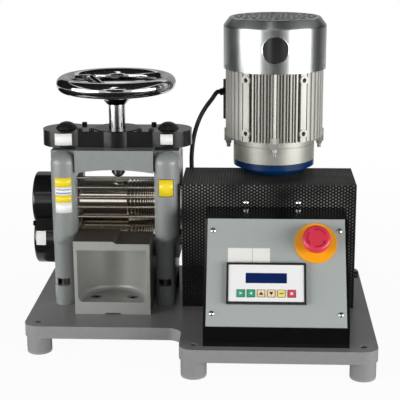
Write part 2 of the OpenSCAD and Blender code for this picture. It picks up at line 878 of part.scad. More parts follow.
// Feed table with its round scrap pocket
module pocket_outline(r) {
    pocket_y = table_front + pocket_d - table_pocket_r;
    translate([0, pocket_y]) circle(r);
    translate([-r, table_front - cut]) square([2 * r, pocket_y - table_front + cut]);
}
module table_pocket() {
    floor_r = table_pocket_r - table_fillet;
    pocket_y = table_front + pocket_d - table_pocket_r;
    translate([0, 0, table_foot_h + table_fillet])
        linear_extrude(table_h - table_t - table_foot_h - table_fillet) pocket_outline(table_pocket_r);
    translate([0, 0, table_foot_h]) linear_extrude(2 * table_fillet) pocket_outline(floor_r);
    translate([0, pocket_y, table_foot_h + table_fillet])
        rotate_extrude() translate([floor_r, 0]) circle(table_fillet);
    for (x = [-1, 1]) along_y(table_front - cut, pocket_y)
        translate([x * floor_r, table_foot_h + table_fillet]) circle(table_fillet);
}
module feed_table() {
    color("gray") difference() {
        at_table() difference() {
            union() {
                translate([-table_half, table_front, 0])
                    cube([2 * table_half, table_back - table_front, table_h]);
                translate([-table_half, table_back - cut, 0])
                    cube([2 * table_half, table_saddle_d + cut, table_saddle_h]);
            }
            along_y(table_front - cut, table_back + cut) polygon([
                [step_x, table_h + cut], [step_x, table_h], [step_x + step_run, table_h - table_step],
                [table_half + cut, table_h - table_step], [table_half + cut, table_h + cut]
            ]);
            table_pocket();
            rod_x(-table_half - cut, table_half + cut, roll_y, roll_h, roll_d + 2 * roll_clear);
            translate([-table_notch_w / 2, table_front - cut, -cut])
                cube([table_notch_w, table_reach, table_notch_h + cut]);
        }
        at_table_screws() {
            rod_z(0, 0, -table_foot_h, cut, seated(frame_screw_d));
            rod_z(0, 0, 0, table_foot_h, table_screw_hole);
        }
    }
}

// Chocks, bushes and springs
module chock_pair(h) {
    both_cheeks() difference() {
        translate([screw_x - chock_t / 2, roll_y - window_w / 2 + slide_play, h - chock_h / 2])
            cube([chock_t, window_w - 2 * slide_play, chock_h]);
        rod_x(screw_x - chock_t, screw_x + chock_t, roll_y, h, running(bush_d));
        children();
    }
}
module bush_pair(h) {
    both_cheeks() difference() {
        rod_x(screw_x - chock_t / 2, screw_x + chock_t / 2, roll_y, h, bush_d);
        rod_x(screw_x - chock_t, screw_x + chock_t, roll_y, h, running(neck_d));
    }
}
module lower_chocks() {
    color("slategray") chock_pair(roll_h) for (y = [-1, 1])
        rod_z(screw_x, roll_y + y * spring_y,
            roll_h + chock_h / 2 - spring_seat, roll_h + chock_h / 2 + cut, spring_d + 1);
}
module upper_chocks() {
    color("slategray") chock_pair(upper_h);
}
module lower_bushes() {
    color("peru") bush_pair(roll_h);
}
module upper_bushes() {
    color("peru") bush_pair(upper_h);
}
module chock_springs() {
    z0 = roll_h + chock_h / 2 - spring_seat + spring_wire / 2;
    z1 = upper_h - chock_h / 2 - spring_wire / 2;
    steps = spring_turns * spring_steps;
    coil_r = (spring_d - spring_wire) / 2;
    coil = [for (i = [0:steps]) let (a = 360 * i / spring_steps)
        [coil_r * cos(a), coil_r * sin(a), z0 + (z1 - z0) * i / steps]];
    color("silver") both_cheeks() for (y = [-1, 1]) translate([screw_x, roll_y + y * spring_y, 0])
        polyhedron(tube_points(coil, spring_wire / 2, spring_sides), tube_faces(steps + 1, spring_sides));
}

// Rolls and their gears
function groove_width(i) = groove_w * pow(groove_ratio, i);
function groove_start(i) = i == 0 ? 0 : groove_start(i - 1) + groove_width(i - 1) + groove_land;
module roll_profile() {
    grooves_x = roll_len / 2 - groove_start(groove_n) - 2;
    difference() {
        translate([0, -roll_len / 2]) square([roll_d / 2, roll_len]);
        for (i = [0:groove_n - 1]) let (x = grooves_x + groove_start(i), w = groove_width(i))
            polygon([
                [roll_d / 2 + cut, x - cut], [roll_d / 2 - w / 2, x + w / 2], [roll_d / 2 + cut, x + w + cut]
            ]);
    }
}
module roll(h, right_end, right_d) {
    at_mill() translate([0, roll_y, h]) rotate([0, 90, 0]) rotate_extrude() {
        roll_profile();
        neck_out = cheek_out - 1;
        translate([0, -neck_out]) square([neck_d / 2, 2 * neck_out]);
        translate([0, -gear_x - roll_gear_w]) square([gear_seat_d / 2, gear_x + roll_gear_w]);
        square([right_d / 2, right_end]);
    }
}
module roll_gear(h, turn) {
    at_mill() translate([0, roll_y, h]) along_x(-gear_x - roll_gear_w, -gear_x) difference() {
        rotate(turn)
            gear_2d(roll_gear_z, roll_gear_m, roll_gear_pa, roll_gear_play, roll_gear_add, roll_gear_ded);
        circle(d = gear_seat_d);
    }
}
module lower_roll() {
    color("lightgray") roll(roll_h, motor_x + gearbox_w / 2 - mill_x, output_d);
}
module upper_roll() {
    color("lightgray") roll(upper_h, cheek_out - 1, neck_d);
}
module lower_roll_gear() {
    color("dimgray") roll_gear(roll_h, 90);
}
module upper_roll_gear() {
    color("dimgray") roll_gear(upper_h, 90 + 180 / roll_gear_z);
}

// Covers of the roll gears and of the gap drive
module gear_cover_lobe(r, w, edge) {
    rotate([0, -90, 0]) rotate_extrude() {
        square([r - edge, w]);
        square([r, w - edge]);
        translate([r - edge, w - edge]) circle(edge);
    }
}
module gear_cover() {
    edge = 4;
    color([0.1, 0.1, 0.1]) difference() {
        at_mill() {
            for (h = [roll_h, upper_h]) translate([-gear_cover_x, roll_y, h])
                gear_cover_lobe(gear_cover_r, gear_cover_w, edge);
            translate([-gear_web_x, roll_y - gear_web_r, nip_h - gear_web_h])
                cube([gear_web_x - gear_cover_x, 2 * gear_web_r, 2 * gear_web_h]);
        }
        at_mill() for (h = [roll_h, upper_h])
            rod_x(-gear_cover_x - gear_cover_w + gear_cover_t, -gear_cover_x + cut,
                roll_y, h, 2 * (gear_cover_r - gear_cover_t));
        at_gear_screws() rod_z(0, 0, -gear_cover_w - cut, cut, seated(gear_screw_d));
    }
}
module top_cover_outline() {
    for (x = [-1, 1]) translate([x * screw_x, 0]) circle(cover_r);
    circle(disc_d / 2 - 1.5);
    translate([-screw_x, -waist_r]) square([2 * screw_x, 2 * waist_r]);
}
module gear_chamber_outline() {
    circle(gear_m * (pinion_z / 2 + gap_gear_add) + chamber_play);
    for (x = [-screw_x, -idler_x, idler_x, screw_x]) translate([x, 0])
        circle(gear_m * (idler_z / 2 + gap_gear_add) + chamber_play);
}
module top_cover() {
    color([0.16, 0.16, 0.16]) at_mill() difference() {
        translate([0, roll_y, cover_z]) linear_extrude(cover_h) top_cover_outline();
        translate([0, roll_y, cover_z - cut]) linear_extrude(cover_h - cover_t + cut) gear_chamber_outline();
        rod_z(0, roll_y, cover_floor - cut, cover_top + cut, seated(spigot_d));
        for (x = [-1, 1]) {
            rod_z(x * screw_x, roll_y, cover_floor - cut, cover_top + cut, screw_end_hole);
            for (s = cover_screw_spots)
                rod_z(x * s[0], roll_y + s[1] * cover_screw_y,
                    cover_z - cut, cover_top + cut, seated(cover_screw_d));
        }
    }
}
module cover_screws() {
    color([0.1, 0.1, 0.1]) {
        at_cover_screws() cap_screw(cover_screw_d, cover_screw_head, cover_screw_head_h, cover_screw_len);
        at_gear_screws()
            cap_screw(gear_screw_d, gear_screw_head, gear_screw_d, gear_web_x - cheek_out + gear_screw_depth);
    }
}
module cover_caps() {
    ball_r = (cap_d * cap_d / 4 + cap_h * cap_h) / (2 * cap_h);
    color([0.05, 0.05, 0.05]) both_cheeks() translate([screw_x, roll_y, cover_top]) difference() {
        intersection() {
            translate([0, 0, cap_h - ball_r]) sphere(ball_r);
            cylinder(d = cap_d + 2, h = cap_h + cut);
        }
        rod_z(0, 0, -cut, cap_h - cap_t, screw_end_hole);
    }
}
module shaft_bearing() {
    color("gray") at_mill() translate([0, roll_y, 0]) difference() {
        union() {
            rod_z(0, 0, cover_top, cover_top + disc_t, disc_d);
            rod_z(0, 0, cover_floor, cover_top + disc_t / 2, spigot_d);
        }
        rod_z(0, 0, cover_floor - cut, cover_top + disc_t + cut, running(shaft_d));
    }
}

// Handwheel, its shaft and the gap gears
module handwheel() {
    hub_r = hub_d / 2;
    spoke_in = [hub_r - spoke_d / 2, hub_z + hub_h - spoke_d / 2];
    spoke_out = [rim_r, rim_z];
    spoke_run = spoke_out - spoke_in;
    color("silver") at_mill() translate([0, roll_y, 0]) difference() {
        union() {
            translate([0, 0, rim_z]) rotate_extrude() translate([rim_r, 0]) circle(d = rim_d);
            translate([0, 0, hub_z]) rotate_extrude() polygon([
                [0, 0], [shaft_d / 2 + 2, 0], [hub_r, hub_h * 0.5],
                [hub_r, hub_h * 0.85], [hub_r - 3, hub_h], [0, hub_h]
            ]);
            for (i = [0:spoke_n - 1]) rotate(spoke_a0 + 360 * i / spoke_n)
                translate([spoke_in[0], 0, spoke_in[1]]) rotate([0, atan2(spoke_run[0], spoke_run[1]), 0])
                    cylinder(d = spoke_d, h = norm(spoke_run));
        }
        rod_z(0, 0, hub_z - cut, hub_z + hub_seat_h, seated(hub_seat_d));
    }
}
module gap_gear(z, h, turn) {
    linear_extrude(h) rotate(turn) gear_2d(z, gear_m, 20, gap_gear_play, gap_gear_add, gap_gear_ded);
}
module handwheel_shaft() {
    nut_z = bridge_z + arch_rise - nut_h - slide_play - 0.2;
    color("silver") at_mill() translate([0, roll_y, 0]) {
        rod_z(0, 0, gear_z0 + gear_h - cut, hub_z, shaft_d);
        rod_z(0, 0, hub_z - cut, hub_z + hub_seat_h - seat_play, hub_seat_d);
        rod_z(0, 0, nut_z + nut_tip, gear_z0 + cut, journal_d);
        translate([0, 0, gear_z0]) gap_gear(pinion_z, gear_h, 0);
        rod_z(0, 0, nut_z + nut_tip, nut_z + nut_h, nut_d);
        translate([0, 0, nut_z]) cylinder(d1 = journal_d - nut_tip, d2 = nut_d, h = nut_tip);
    }
}
module idler(side) {
    at_mill() translate([side * idler_x, roll_y, gear_z0]) difference() {
        gap_gear(idler_z, gear_h, 180 / idler_z);
        rod_z(0, 0, -cut, gear_h + cut, running(pin_d));
    }
}
module left_idler_gear() {
    color("gray") idler(-1);
}
module right_idler_gear() {
    color("gray") idler(1);
}
module pressure_screw(side) {
    at_mill() translate([side * screw_x, roll_y, 0]) {
        rod_z(0, 0, upper_h + chock_h / 2 + seat_play, screw_gear_z + cut, screw_d);
        translate([0, 0, screw_gear_z]) gap_gear(idler_z, screw_gear_h, 0);
        translate([0, 0, screw_gear_z + screw_gear_h - cut])
            cylinder(d = screw_end_d, h = screw_end_h + cut, $fn = 6);
    }
}
module left_pressure_screw() {
    color("gray") pressure_screw(-1);
}
module right_pressure_screw() {
    color("gray") pressure_screw(1);
}

// Worm gearbox
module gearbox_side() {
    translate([roll_y, roll_h]) circle(gearbox_r);
    corner_rect(roll_y - 8, roll_h - gearbox_r + 6, motor_y + gearbox_back, roll_h + gearbox_r - 4, 10);
    translate([gearbox_foot_y, 0]) square([gearbox_foot_d, roll_h - gearbox_r + 12]);
}
module gearbox_housing() {
    half = gearbox_w / 2;
    color([0.06, 0.31, 0.56]) difference() {
        union() {
            translate([0, 0, deck]) along_x(motor_x - half, motor_x + half) gearbox_side();
            translate([motor_x - half - gearbox_foot_out, gearbox_foot_y, deck])
                cube([gearbox_w + 2 * gearbox_foot_out, gearbox_foot_d, gearbox_foot_h]);
            at_motor() rod_z(0, 0, roll_h + gearbox_r - 12, flange_z + cut, neck_d_box);
            at_motor() rod_z(0, 0, flange_z, shield_z, flange_d);
        }
        on_deck() rod_x(motor_x - half - cut, motor_x + half + cut, roll_y, roll_h, wheel_bearing_d);
        on_deck() rod_x(motor_x - chamber_w / 2, motor_x + chamber_w / 2, roll_y, roll_h, 2 * chamber_r);
        at_motor() rod_z(0, 0, roll_h - worm_end_h, shield_z + cut, worm_bearing_d);
        at_gearbox_bolts() rod_z(0, 0, -gearbox_foot_h - cut, cut, seated(gearbox_bolt_d));
    }
}
module bearing(z, seat_d, shaft_d) {
    ring_z(z, z + bearing_w, seat_d - 2 * run_play, running(shaft_d));
}
module ball_bearings() {
    half = gearbox_w / 2;
    color("lightsteelblue") {
        for (x = [motor_x - half, motor_x + half - bearing_w]) on_deck() difference() {
            rod_x(x, x + bearing_w, roll_y, roll_h, wheel_bearing_d - 2 * run_play);
            rod_x(x - cut, x + bearing_w + cut, roll_y, roll_h, running(wheel_hub_d));
        }
        at_motor() {
            bearing(roll_h - worm_end_h, worm_bearing_d, worm_neck_d);
            bearing(roll_h + worm_end_h, worm_bearing_d, worm_d);
            for (z = [shield_z, body_top - bearing_w]) bearing(z, motor_bearing_d, motor_shaft_d);
        }
    }
}
module worm_wheel() {
    half = gearbox_w / 2;
    color("goldenrod") on_deck() difference() {
        union() {
            rod_x(motor_x - wheel_face / 2, motor_x + wheel_face / 2, roll_y, roll_h, 2 * wheel_tip_r);
            rod_x(motor_x - half + 1, motor_x + half - 1, roll_y, roll_h, wheel_hub_d);
        }
        rod_x(motor_x - half - cut, motor_x + half + cut, roll_y, roll_h, running(output_d));
    }
}
module worm() {
    color("silver") at_motor() difference() {
        union() {
            rod_z(0, 0, roll_h - worm_h / 2, worm_top, worm_d);
            rod_z(0, 0, roll_h - worm_end_h + 1, roll_h, worm_neck_d);
        }
        rod_z(0, 0, roll_h + worm_h / 2 + 4, worm_top + cut, running(key_shaft_d));
    }
}
module drive_coupling() {
    x0 = guard_x0 + coupling_gap;
    x1 = motor_x - gearbox_w / 2 - gearbox_foot_out - coupling_room;
    mid = (x0 + x1) / 2;
    color("dimgray") on_deck() difference() {
        union() {
            rod_x(x0, x1, roll_y, roll_h, coupling_d);
            rod_x(mid - coupling_flange, mid + coupling_flange, roll_y, roll_h, coupling_flange_d);
        }
        rod_x(x0 - cut, x1 + cut, roll_y, roll_h, running(output_d));
        difference() {
            rod_x(mid - coupling_slot, mid + coupling_slot, roll_y, roll_h, coupling_flange_d + cut);
            rod_x(mid - 2 * coupling_slot, mid + 2 * coupling_slot, roll_y, roll_h, coupling_d + cut);
        }
    }
}

// Motor
module at_tie_bolts() {
    for (i = [0:3]) rotate(90 * i) translate([tie_r, 0, body_z]) children();
}
module tie_lug(z0, z1) {
    lug_in = stator_r + 2;
    for (i = [0:3]) rotate(90 * i) translate([lug_in, -lug_w / 2, z0]) cube([lug_r - lug_in, lug_w, z1 - z0]);
}
module motor_end_shield() {
    color("darkgray") at_motor() difference() {
        union() {
            rod_z(0, 0, shield_z, body_z, shield_d);
            tie_lug(body_z - lug_h, body_z);
        }
        rod_z(0, 0, shield_z + shield_wall, body_z + cut, 2 * stator_r - 6);
        rod_z(0, 0, shield_z - cut, body_z, motor_bearing_d);
        translate([0, 0, body_z - shield_groove]) rotate_extrude()
            translate([shield_d / 2 - 1, 0]) square([2, 1.2]);
        at_tie_bolts() rod_z(0, 0, -lug_h - cut, cut, seated(tie_d));
    }
    color("darkgray") at_motor()
        ring_z(shield_z + shield_wall - cut, shield_z + bearing_w + 3, motor_bearing_d + 12, motor_bearing_d);
}
module box_space(gap) {
    rotate(box_a) translate([box_seat - gap, -box_w / 2 - gap, box_z - gap])
        cube([box_reach - box_seat + 2 * gap, box_w + 2 * gap, box_h + 2 * gap]);
}
module at_pads() {
    for (a = [-90, 90], s = [-1, 1]) rotate(a + s * pad_a) children();
}
module motor_body_outline() {
    circle(core_r);
    for (i = [0:fin_n - 1]) rotate(360 * (i + 0.5) / fin_n)
        translate([0, -fin_t / 2]) square([body_d / 2, fin_t]);
    at_pads() translate([0, -pad_w / 2]) square([body_d / 2, pad_w]);
}
module motor_body() {
    color("darkgray") at_motor() difference() {
        union() {
            translate([0, 0, body_z]) linear_extrude(body_h) motor_body_outline();
            rod_z(0, 0, cowl_z - cut, body_top, body_d - 1);
            tie_lug(body_z, body_z + lug_h);
            at_pads() for (z = pad_z) rod_x(core_r - 4, body_d / 2 + 1.2, 0, z, pad_boss_d);
            rotate(box_a) translate([core_r - box_rim, -box_w / 2 + box_rim, box_z + box_rim])
                cube([box_seat - core_r + box_rim, box_w - 2 * box_rim, box_h - 2 * box_rim]);
        }
        rod_z(0, 0, body_z - cut, body_top - bearing_w - 3, 2 * stator_r);
        rod_z(0, 0, body_z - cut, body_top + cut, motor_bearing_d);
        at_tie_bolts() rod_z(0, 0, -cut, lug_h + cut, seated(tie_d));
        at_pads() for (z = pad_z) rod_x(core_r, body_d, 0, z, pad_hole_d);
        at_cowl_screws() translate([0, 0, -10]) cylinder(d = seated(cowl_screw_d), h = 12);
        difference() {
            box_space(seat_play);
            rotate(box_a) translate([0, -box_w, box_z - box_h]) cube([box_seat, 2 * box_w, 3 * box_h]);
        }
    }
}
module at_cowl_screws() {
    for (a = [-1, 1], b = [0, 180]) rotate(b + a * cowl_screw_a)
        translate([cowl_d / 2 + run_play, 0, cowl_z + rim_lap / 2]) rotate([0, 90, 0]) children();
}
module stator_core() {
    color("saddlebrown") at_motor()
        ring_z(stator_z, stator_z + stator_h, 2 * (stator_r - run_play), 2 * stator_bore);
}
module motor_rotor() {
    color("gray") at_motor() {
        rod_z(0, 0, stator_z + 2, stator_z + stator_h - 2, 2 * (stator_bore - rotor_gap));
        rod_z(0, 0, shield_z - 2, body_top + 4, motor_shaft_d);
        rod_z(0, 0, body_top, fan_z + fan_h, fan_seat_d);
        rod_z(0, 0, roll_h + worm_h / 2 + 6, shield_z, key_shaft_d);
    }
}
module motor_fasteners() {
    color("silver") at_motor() {
        at_tie_bolts() rod_z(0, 0, -lug_h - tie_head_h - 6, lug_h, tie_d);
        at_tie_bolts() difference() {
            translate([0, 0, -lug_h - tie_head_h]) cylinder(d = tie_head_d, h = tie_head_h, $fn = 6);
            translate([0, 0, -lug_h - tie_head_h - cut]) cylinder(d = tie_d - 0.2, h = tie_head_h + 2 * cut);
        }
        at_cowl_screws() pan_screw(cowl_screw_d, cowl_screw_head, 8);
    }
}
module grille_slots() {
    difference() {
        for (i = [0:grille_rings - 1]) difference() {
            circle(grille_r0 + i * grille_pitch + grille_slot);
            circle(grille_r0 + i * grille_pitch);
        }
        for (i = [0:grille_ribs - 1]) rotate(180 * i / grille_ribs)
            square([cowl_d, grille_rib_w], center = true);
    }
}
module fan_cowl() {
    r = cowl_d / 2;
    lean = cowl_t * 0.45;
    color("lightgray") at_motor() difference() {
        translate([0, 0, cowl_z]) rotate_extrude() polygon([
            [0, cowl_h], [r - cowl_slope, cowl_h], [r, cowl_h - cowl_slope_h], [r, 0], [r - cowl_t, 0],
            [r - cowl_t, cowl_h - cowl_slope_h - lean], [r - cowl_slope - lean, cowl_h - cowl_t],
            [0, cowl_h - cowl_t]
        ]);
        translate([0, 0, cowl_top - cowl_t - cut]) linear_extrude(cowl_t + 2 * cut) grille_slots();
        at_cowl_screws() translate([0, 0, -4]) cylinder(d = seated(cowl_screw_d), h = 8);
    }
}
module cooling_fan() {
    color("dimgray") at_motor() difference() {
        union() {
            rod_z(0, 0, fan_z, fan_z + fan_h, fan_hub_d);
            for (i = [0:fan_blades - 1]) rotate(360 * i / fan_blades)
                translate([fan_hub_d / 2 - cut, -fan_blade_t / 2, fan_z])
                    cube([fan_r - fan_hub_d / 2 + cut, fan_blade_t, fan_h]);
        }
        rod_z(0, 0, fan_z - cut, fan_z + fan_h + cut, running(fan_seat_d));
    }
}
module terminal_box() {
    color([0.08, 0.08, 0.08]) at_motor() difference() {
        box_space(0);
        rotate(box_a) translate([box_reach - box_lid_t - 1, 0, 0]) difference() {
            translate([0, -box_w, box_z - 5]) cube([1, 2 * box_w, box_h + 10]);
            translate([-1, -box_w / 2 + 1, box_z + 1]) cube([3, box_w - 2, box_h - 2]);
        }
    }
}
module gland() {
    difference() {
        union() {
            cylinder(d = gland_d + 2, h = gland_len * 0.4, $fn = 6);
            cylinder(d = gland_d - 3, h = gland_len);
        }
        translate([0, 0, gland_len - gland_bore]) cylinder(d = seated(cable_d), h = gland_bore + cut);
    }
}
module cable_glands() {
    color([0.12, 0.12, 0.12]) {
        at_motor() rotate(box_a) translate([(box_seat + box_reach) / 2, box_w / 2, gland_z])
            rotate([-90, 0, 0]) gland();
        on_deck() translate(wall_gland - [0, gland_len, 0]) rotate([-90, 0, 0]) gland();
        on_deck() translate(mains_gland) rotate([0, 90, 0]) gland();
    }
}
module motor_cable() {
    path = smooth(cable_points, cable_steps);
    color([0.05, 0.05, 0.05]) on_deck()
        polyhedron(tube_points(path, cable_d / 2, cable_sides), tube_faces(len(path), cable_sides));
}

// Guard over the gearbox
module guard() {
    in_x0 = guard_x0 + sheet_t;
    in_x1 = guard_x1 - sheet_t;
    color([0.15, 0.14, 0.14]) difference() {
        translate([guard_x0, guard_front, deck]) cube([guard_w, guard_d, guard_h]);
        translate([in_x0, guard_front + sheet_t, deck - cut])
            cube([in_x1 - in_x0, guard_d, guard_h - sheet_t + cut]);
        at_motor() translate([0, 0, guard_h - sheet_t - cut]) linear_extrude(sheet_t + 2 * cut) {
            circle(d = neck_cut_d);
            translate([-neck_cut_d / 2, 0]) square([neck_cut_d, guard_d]);
        }
        on_deck() rod_x(guard_x0 - cut, guard_x0 + 3 * sheet_t, roll_y, roll_h, shaft_hole_d);
        at_guard_screws() rod_z(0, 0, -guard_screw_len, cut, seated(guard_screw_d));
    }
}
module sheet_screws() {
    color("silver") {
        at_panel_screws() pan_screw(panel_screw_d, panel_screw_head, 10);
        at_guard_screws() pan_screw(guard_screw_d, panel_screw_head, guard_screw_len);
    }
}

// Console and its panel
module console_side(t, out) {
    polygon([
        [console_front + t, -out], [console_front + t, lip_h - t * (1 - sin(slope_a)) / cos(slope_a)],
        [console_front + slope_run + t * tan(slope_a / 2), console_h - t], [guard_front + out, console_h - t],
        [guard_front + out, -out]
    ]);
}
module console() {
    color([0.05, 0.05, 0.05]) difference() {
        translate([0, 0, deck]) along_x(console_x0, console_x1) console_side(0, 0);
        translate([0, 0, deck]) along_x(console_x0 + console_t, console_x1 - console_t)
            console_side(console_t, cut);
        on_panel() translate([-panel_w / 2 + panel_rim, panel_rim, -3 * console_t])
            cube([panel_w - 2 * panel_rim, slope_len - 2 * panel_rim, 6 * console_t]);
        at_panel_screws() translate([0, 0, -12]) cylinder(d = seated(panel_screw_d), h = 12);
    }
}
module panel() {
    color([0.62, 0.65, 0.64]) difference() {
        on_panel() translate([-panel_w / 2, (slope_len - panel_len) / 2, 0])
            cube([panel_w, panel_len, panel_t]);
        at_display() block(seated(display_body_w), seated(display_body_h), -2 * panel_t, panel_t);
        at_stop() translate([0, 0, -2 * panel_t]) cylinder(d = stop_hole_d, h = 3 * panel_t);
        at_panel_screws() translate([0, 0, -12]) cylinder(d = seated(panel_screw_d), h = 14);
    }
}
module at_keys(spots) {
    for (i = spots) at_display() translate([(i - 2.5) * key_pitch, key_v, 0]) children();
}
module block(w, h, z0, z1) {
    translate([-w / 2, -h / 2, z0]) cube([w, h, z1 - z0]);
}
module display_frame() {
    color([0.11, 0.12, 0.12]) difference() {
        at_display() {
            block(display_w, display_h, 0, display_rise);
            block(display_body_w, display_body_h, -display_body_t, cut);
        }
        at_display() block(display_in_w, display_in_h, display_floor, display_rise + cut);
        at_keys([0:5]) block(key_hole, key_hole, display_floor - key_pocket, display_rise);
    }
}
module display_face() {
    color("white") difference() {
        at_display() block(face_w, face_h, display_floor, display_floor + face_t);
        at_display() translate([0, lcd_v, 0]) block(lcd_w, lcd_h, 0, display_rise);
        at_keys([0:5]) block(key_slot, key_slot, 0, display_rise);
    }
}
module display_window() {
    color("navy") at_display() translate([0, lcd_v, 0])
        block(lcd_w - 2 * seat_play, lcd_h - 2 * seat_play, display_floor, display_floor + lcd_t);
}
module key(i) {
    z0 = display_floor - key_flange_t - seat_play;
    at_keys([i:i]) {
        block(key_w + 2 * key_flange, key_w + 2 * key_flange, z0, z0 + key_flange_t);
        block(key_w, key_w, z0, display_floor + face_t + key_rise);
    }
}
module estop_collar() {
    color("orange") at_stop() difference() {
        union() {
            cylinder(d = collar_d, h = collar_t);
            cylinder(d = stop_neck_d, h = stop_neck_h);
            translate([0, 0, -stop_depth]) cylinder(d = stop_hole_d - 2 * seat_play, h = stop_depth + cut);
            translate([0, 0, -panel_t - stop_nut_h]) cylinder(d = stop_neck_d, h = stop_nut_h, $fn = 6);
            block(stop_block, stop_block, -stop_depth - stop_block_h, -stop_depth);
        }
        translate([0, 0, -stop_depth]) cylinder(d = running(stop_stem_d), h = 3 * stop_depth);
    }
}
module estop_stem() {
    color("gray") at_stop() {
        rod_z(0, 0, stop_travel + 1 - stop_depth, stop_roof_z, stop_stem_d);
        rod_z(0, 0, 0, stop_roof_z + stop_pin_h, stop_pin_d);
    }
}
module estop_head() {
    dome = 5;
    color("crimson") at_stop() difference() {
        rotate_extrude() {
            translate([0, stop_skirt_z]) square([stop_d / 2 - dome, stop_top_z - stop_skirt_z]);
            translate([0, stop_skirt_z]) square([stop_d / 2, stop_top_z - stop_skirt_z - dome]);
            translate([stop_d / 2 - dome, stop_top_z - dome]) circle(dome);
        }
        rod_z(0, 0, stop_skirt_z - cut, stop_roof_z + seat_play, stop_neck_d + 3);
        rod_z(0, 0, 0, stop_roof_z + stop_pin_h + seat_play, running(stop_pin_d));
    }
}
module drive_unit() {
    fin_pitch = drive_w / drive_fins;
    color("dimgray") translate([console_cx - drive_w / 2, guard_front - drive_gap - drive_d, deck]) {
        cube([drive_w, drive_d - drive_fin_h, drive_h]);
        for (i = [0:drive_fins - 1]) translate([(i + 0.3) * fin_pitch, drive_d - drive_fin_h - cut, 0])
            cube([fin_pitch * 0.4, drive_fin_h + cut, drive_h]);
    }
}
module key_start() {
    color("mediumseagreen") key(0);
}
module key_reverse() {
    color("mediumseagreen") key(1);
}
module key_up() {
    color("wheat") key(2);
}
module key_down() {
    color("wheat") key(3);
}
module key_minus() {
    color("khaki") key(4);
}
module key_stop() {
    color("indianred") key(5);
}

base_plate();
feet();
left_cheek();
right_cheek();
top_bridge();
frame_screws();
feed_table();
guard_rods();
lower_chocks();
lower_bushes();
gear_cover();
top_cover();
cover_screws();
cover_caps();
shaft_bearing();
gearbox_housing();
ball_bearings();
motor_end_shield();
motor_body();
stator_core();
motor_fasteners();
fan_cowl();
terminal_box();
cable_glands();
motor_cable();
guard();
sheet_screws();
console();
panel();
display_frame();
display_face();
display_window();
estop_collar();
drive_unit();
handwheel();
handwheel_shaft();
left_idler_gear();
right_idler_gear();
left_pressure_screw();
right_pressure_screw();
upper_chocks();
upper_bushes();
chock_springs();
upper_roll();
upper_roll_gear();
lower_roll();
lower_roll_gear();
drive_coupling();
worm_wheel();
motor_rotor();
cooling_fan();
worm();
estop_stem();
estop_head();
key_start();
key_reverse();
key_up();
key_down();
key_minus();
key_stop();
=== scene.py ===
# %% [markdown]
# # Electric rolling mill, dressed in Blender
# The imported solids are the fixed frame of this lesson: a footed base, a two-roll mill with a
# handwheel on top, a gear motor under a perforated guard, and a sloped console. Blender adds the
# surfaces, the fine forms that are too small for the solids, the light and the camera.

# %% Load the frame
import json
import math

import bmesh
import bpy
from mathutils import Matrix, Vector


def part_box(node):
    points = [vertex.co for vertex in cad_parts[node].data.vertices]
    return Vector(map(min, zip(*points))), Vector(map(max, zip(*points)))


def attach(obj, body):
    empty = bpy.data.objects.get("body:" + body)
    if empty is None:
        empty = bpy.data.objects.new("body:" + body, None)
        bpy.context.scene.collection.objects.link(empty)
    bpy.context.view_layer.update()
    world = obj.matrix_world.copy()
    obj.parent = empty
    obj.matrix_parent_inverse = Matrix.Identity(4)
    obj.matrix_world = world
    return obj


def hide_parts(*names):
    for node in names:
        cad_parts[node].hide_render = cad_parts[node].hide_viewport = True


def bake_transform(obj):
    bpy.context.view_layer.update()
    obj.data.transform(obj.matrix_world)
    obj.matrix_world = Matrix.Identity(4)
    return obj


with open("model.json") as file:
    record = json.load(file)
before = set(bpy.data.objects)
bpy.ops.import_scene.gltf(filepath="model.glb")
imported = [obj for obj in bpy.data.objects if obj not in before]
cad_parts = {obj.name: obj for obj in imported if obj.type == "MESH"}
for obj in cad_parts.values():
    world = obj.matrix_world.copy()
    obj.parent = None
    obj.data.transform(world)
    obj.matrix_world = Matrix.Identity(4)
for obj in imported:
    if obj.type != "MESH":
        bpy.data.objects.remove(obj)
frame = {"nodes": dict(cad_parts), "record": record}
scene = bpy.context.scene
nodes = frame["nodes"]
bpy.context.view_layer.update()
print("solids loaded:", len(nodes))

# %% [markdown]
# Everything on a drawing of this machine is in millimetres, and Blender's unit is the metre. One
# factor turns the first into the second. Colours are picked from a screen as sRGB hex values, but a
# shader wants light energy, so one function undoes the screen's curve.

# %% Units and colours
MM = 0.001


def linear(colour):
    """An sRGB hex colour as the linear RGBA that a socket takes, by the standard's constants."""
    channels = [int(colour[i:i + 2], 16) / 255 for i in (1, 3, 5)]
    return [c / 12.92 if c <= 0.04045 else ((c + 0.055) / 1.055) ** 2.4 for c in channels] + [1.0]


def middle(node):
    """The middle of a solid's box."""
    low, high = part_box(node)
    return (low + high) / 2


mill_x, roll_y = middle("handwheel").x, middle("handwheel").y
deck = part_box("base_plate")[1].z
motor_axis = middle("fan_cowl").xy
print("mill axis", round(mill_x, 4), "deck", round(deck, 4), "motor axis", motor_axis)

# %% [markdown]
# A product camera stands well back with a long lens, so that upright edges stay nearly parallel.
# This one looks down by about fifteen degrees, which shows the table and the top of the base.

# %% Camera
CAMERA_PLACE = (0.0863, -1.6327, 0.6466)
CAMERA_DOWN = math.radians(14.90)
CAMERA_LEFT = math.radians(3.01)
CAMERA_ROLL = math.radians(-0.39)
LENS, SENSOR_W = 100.91, 36

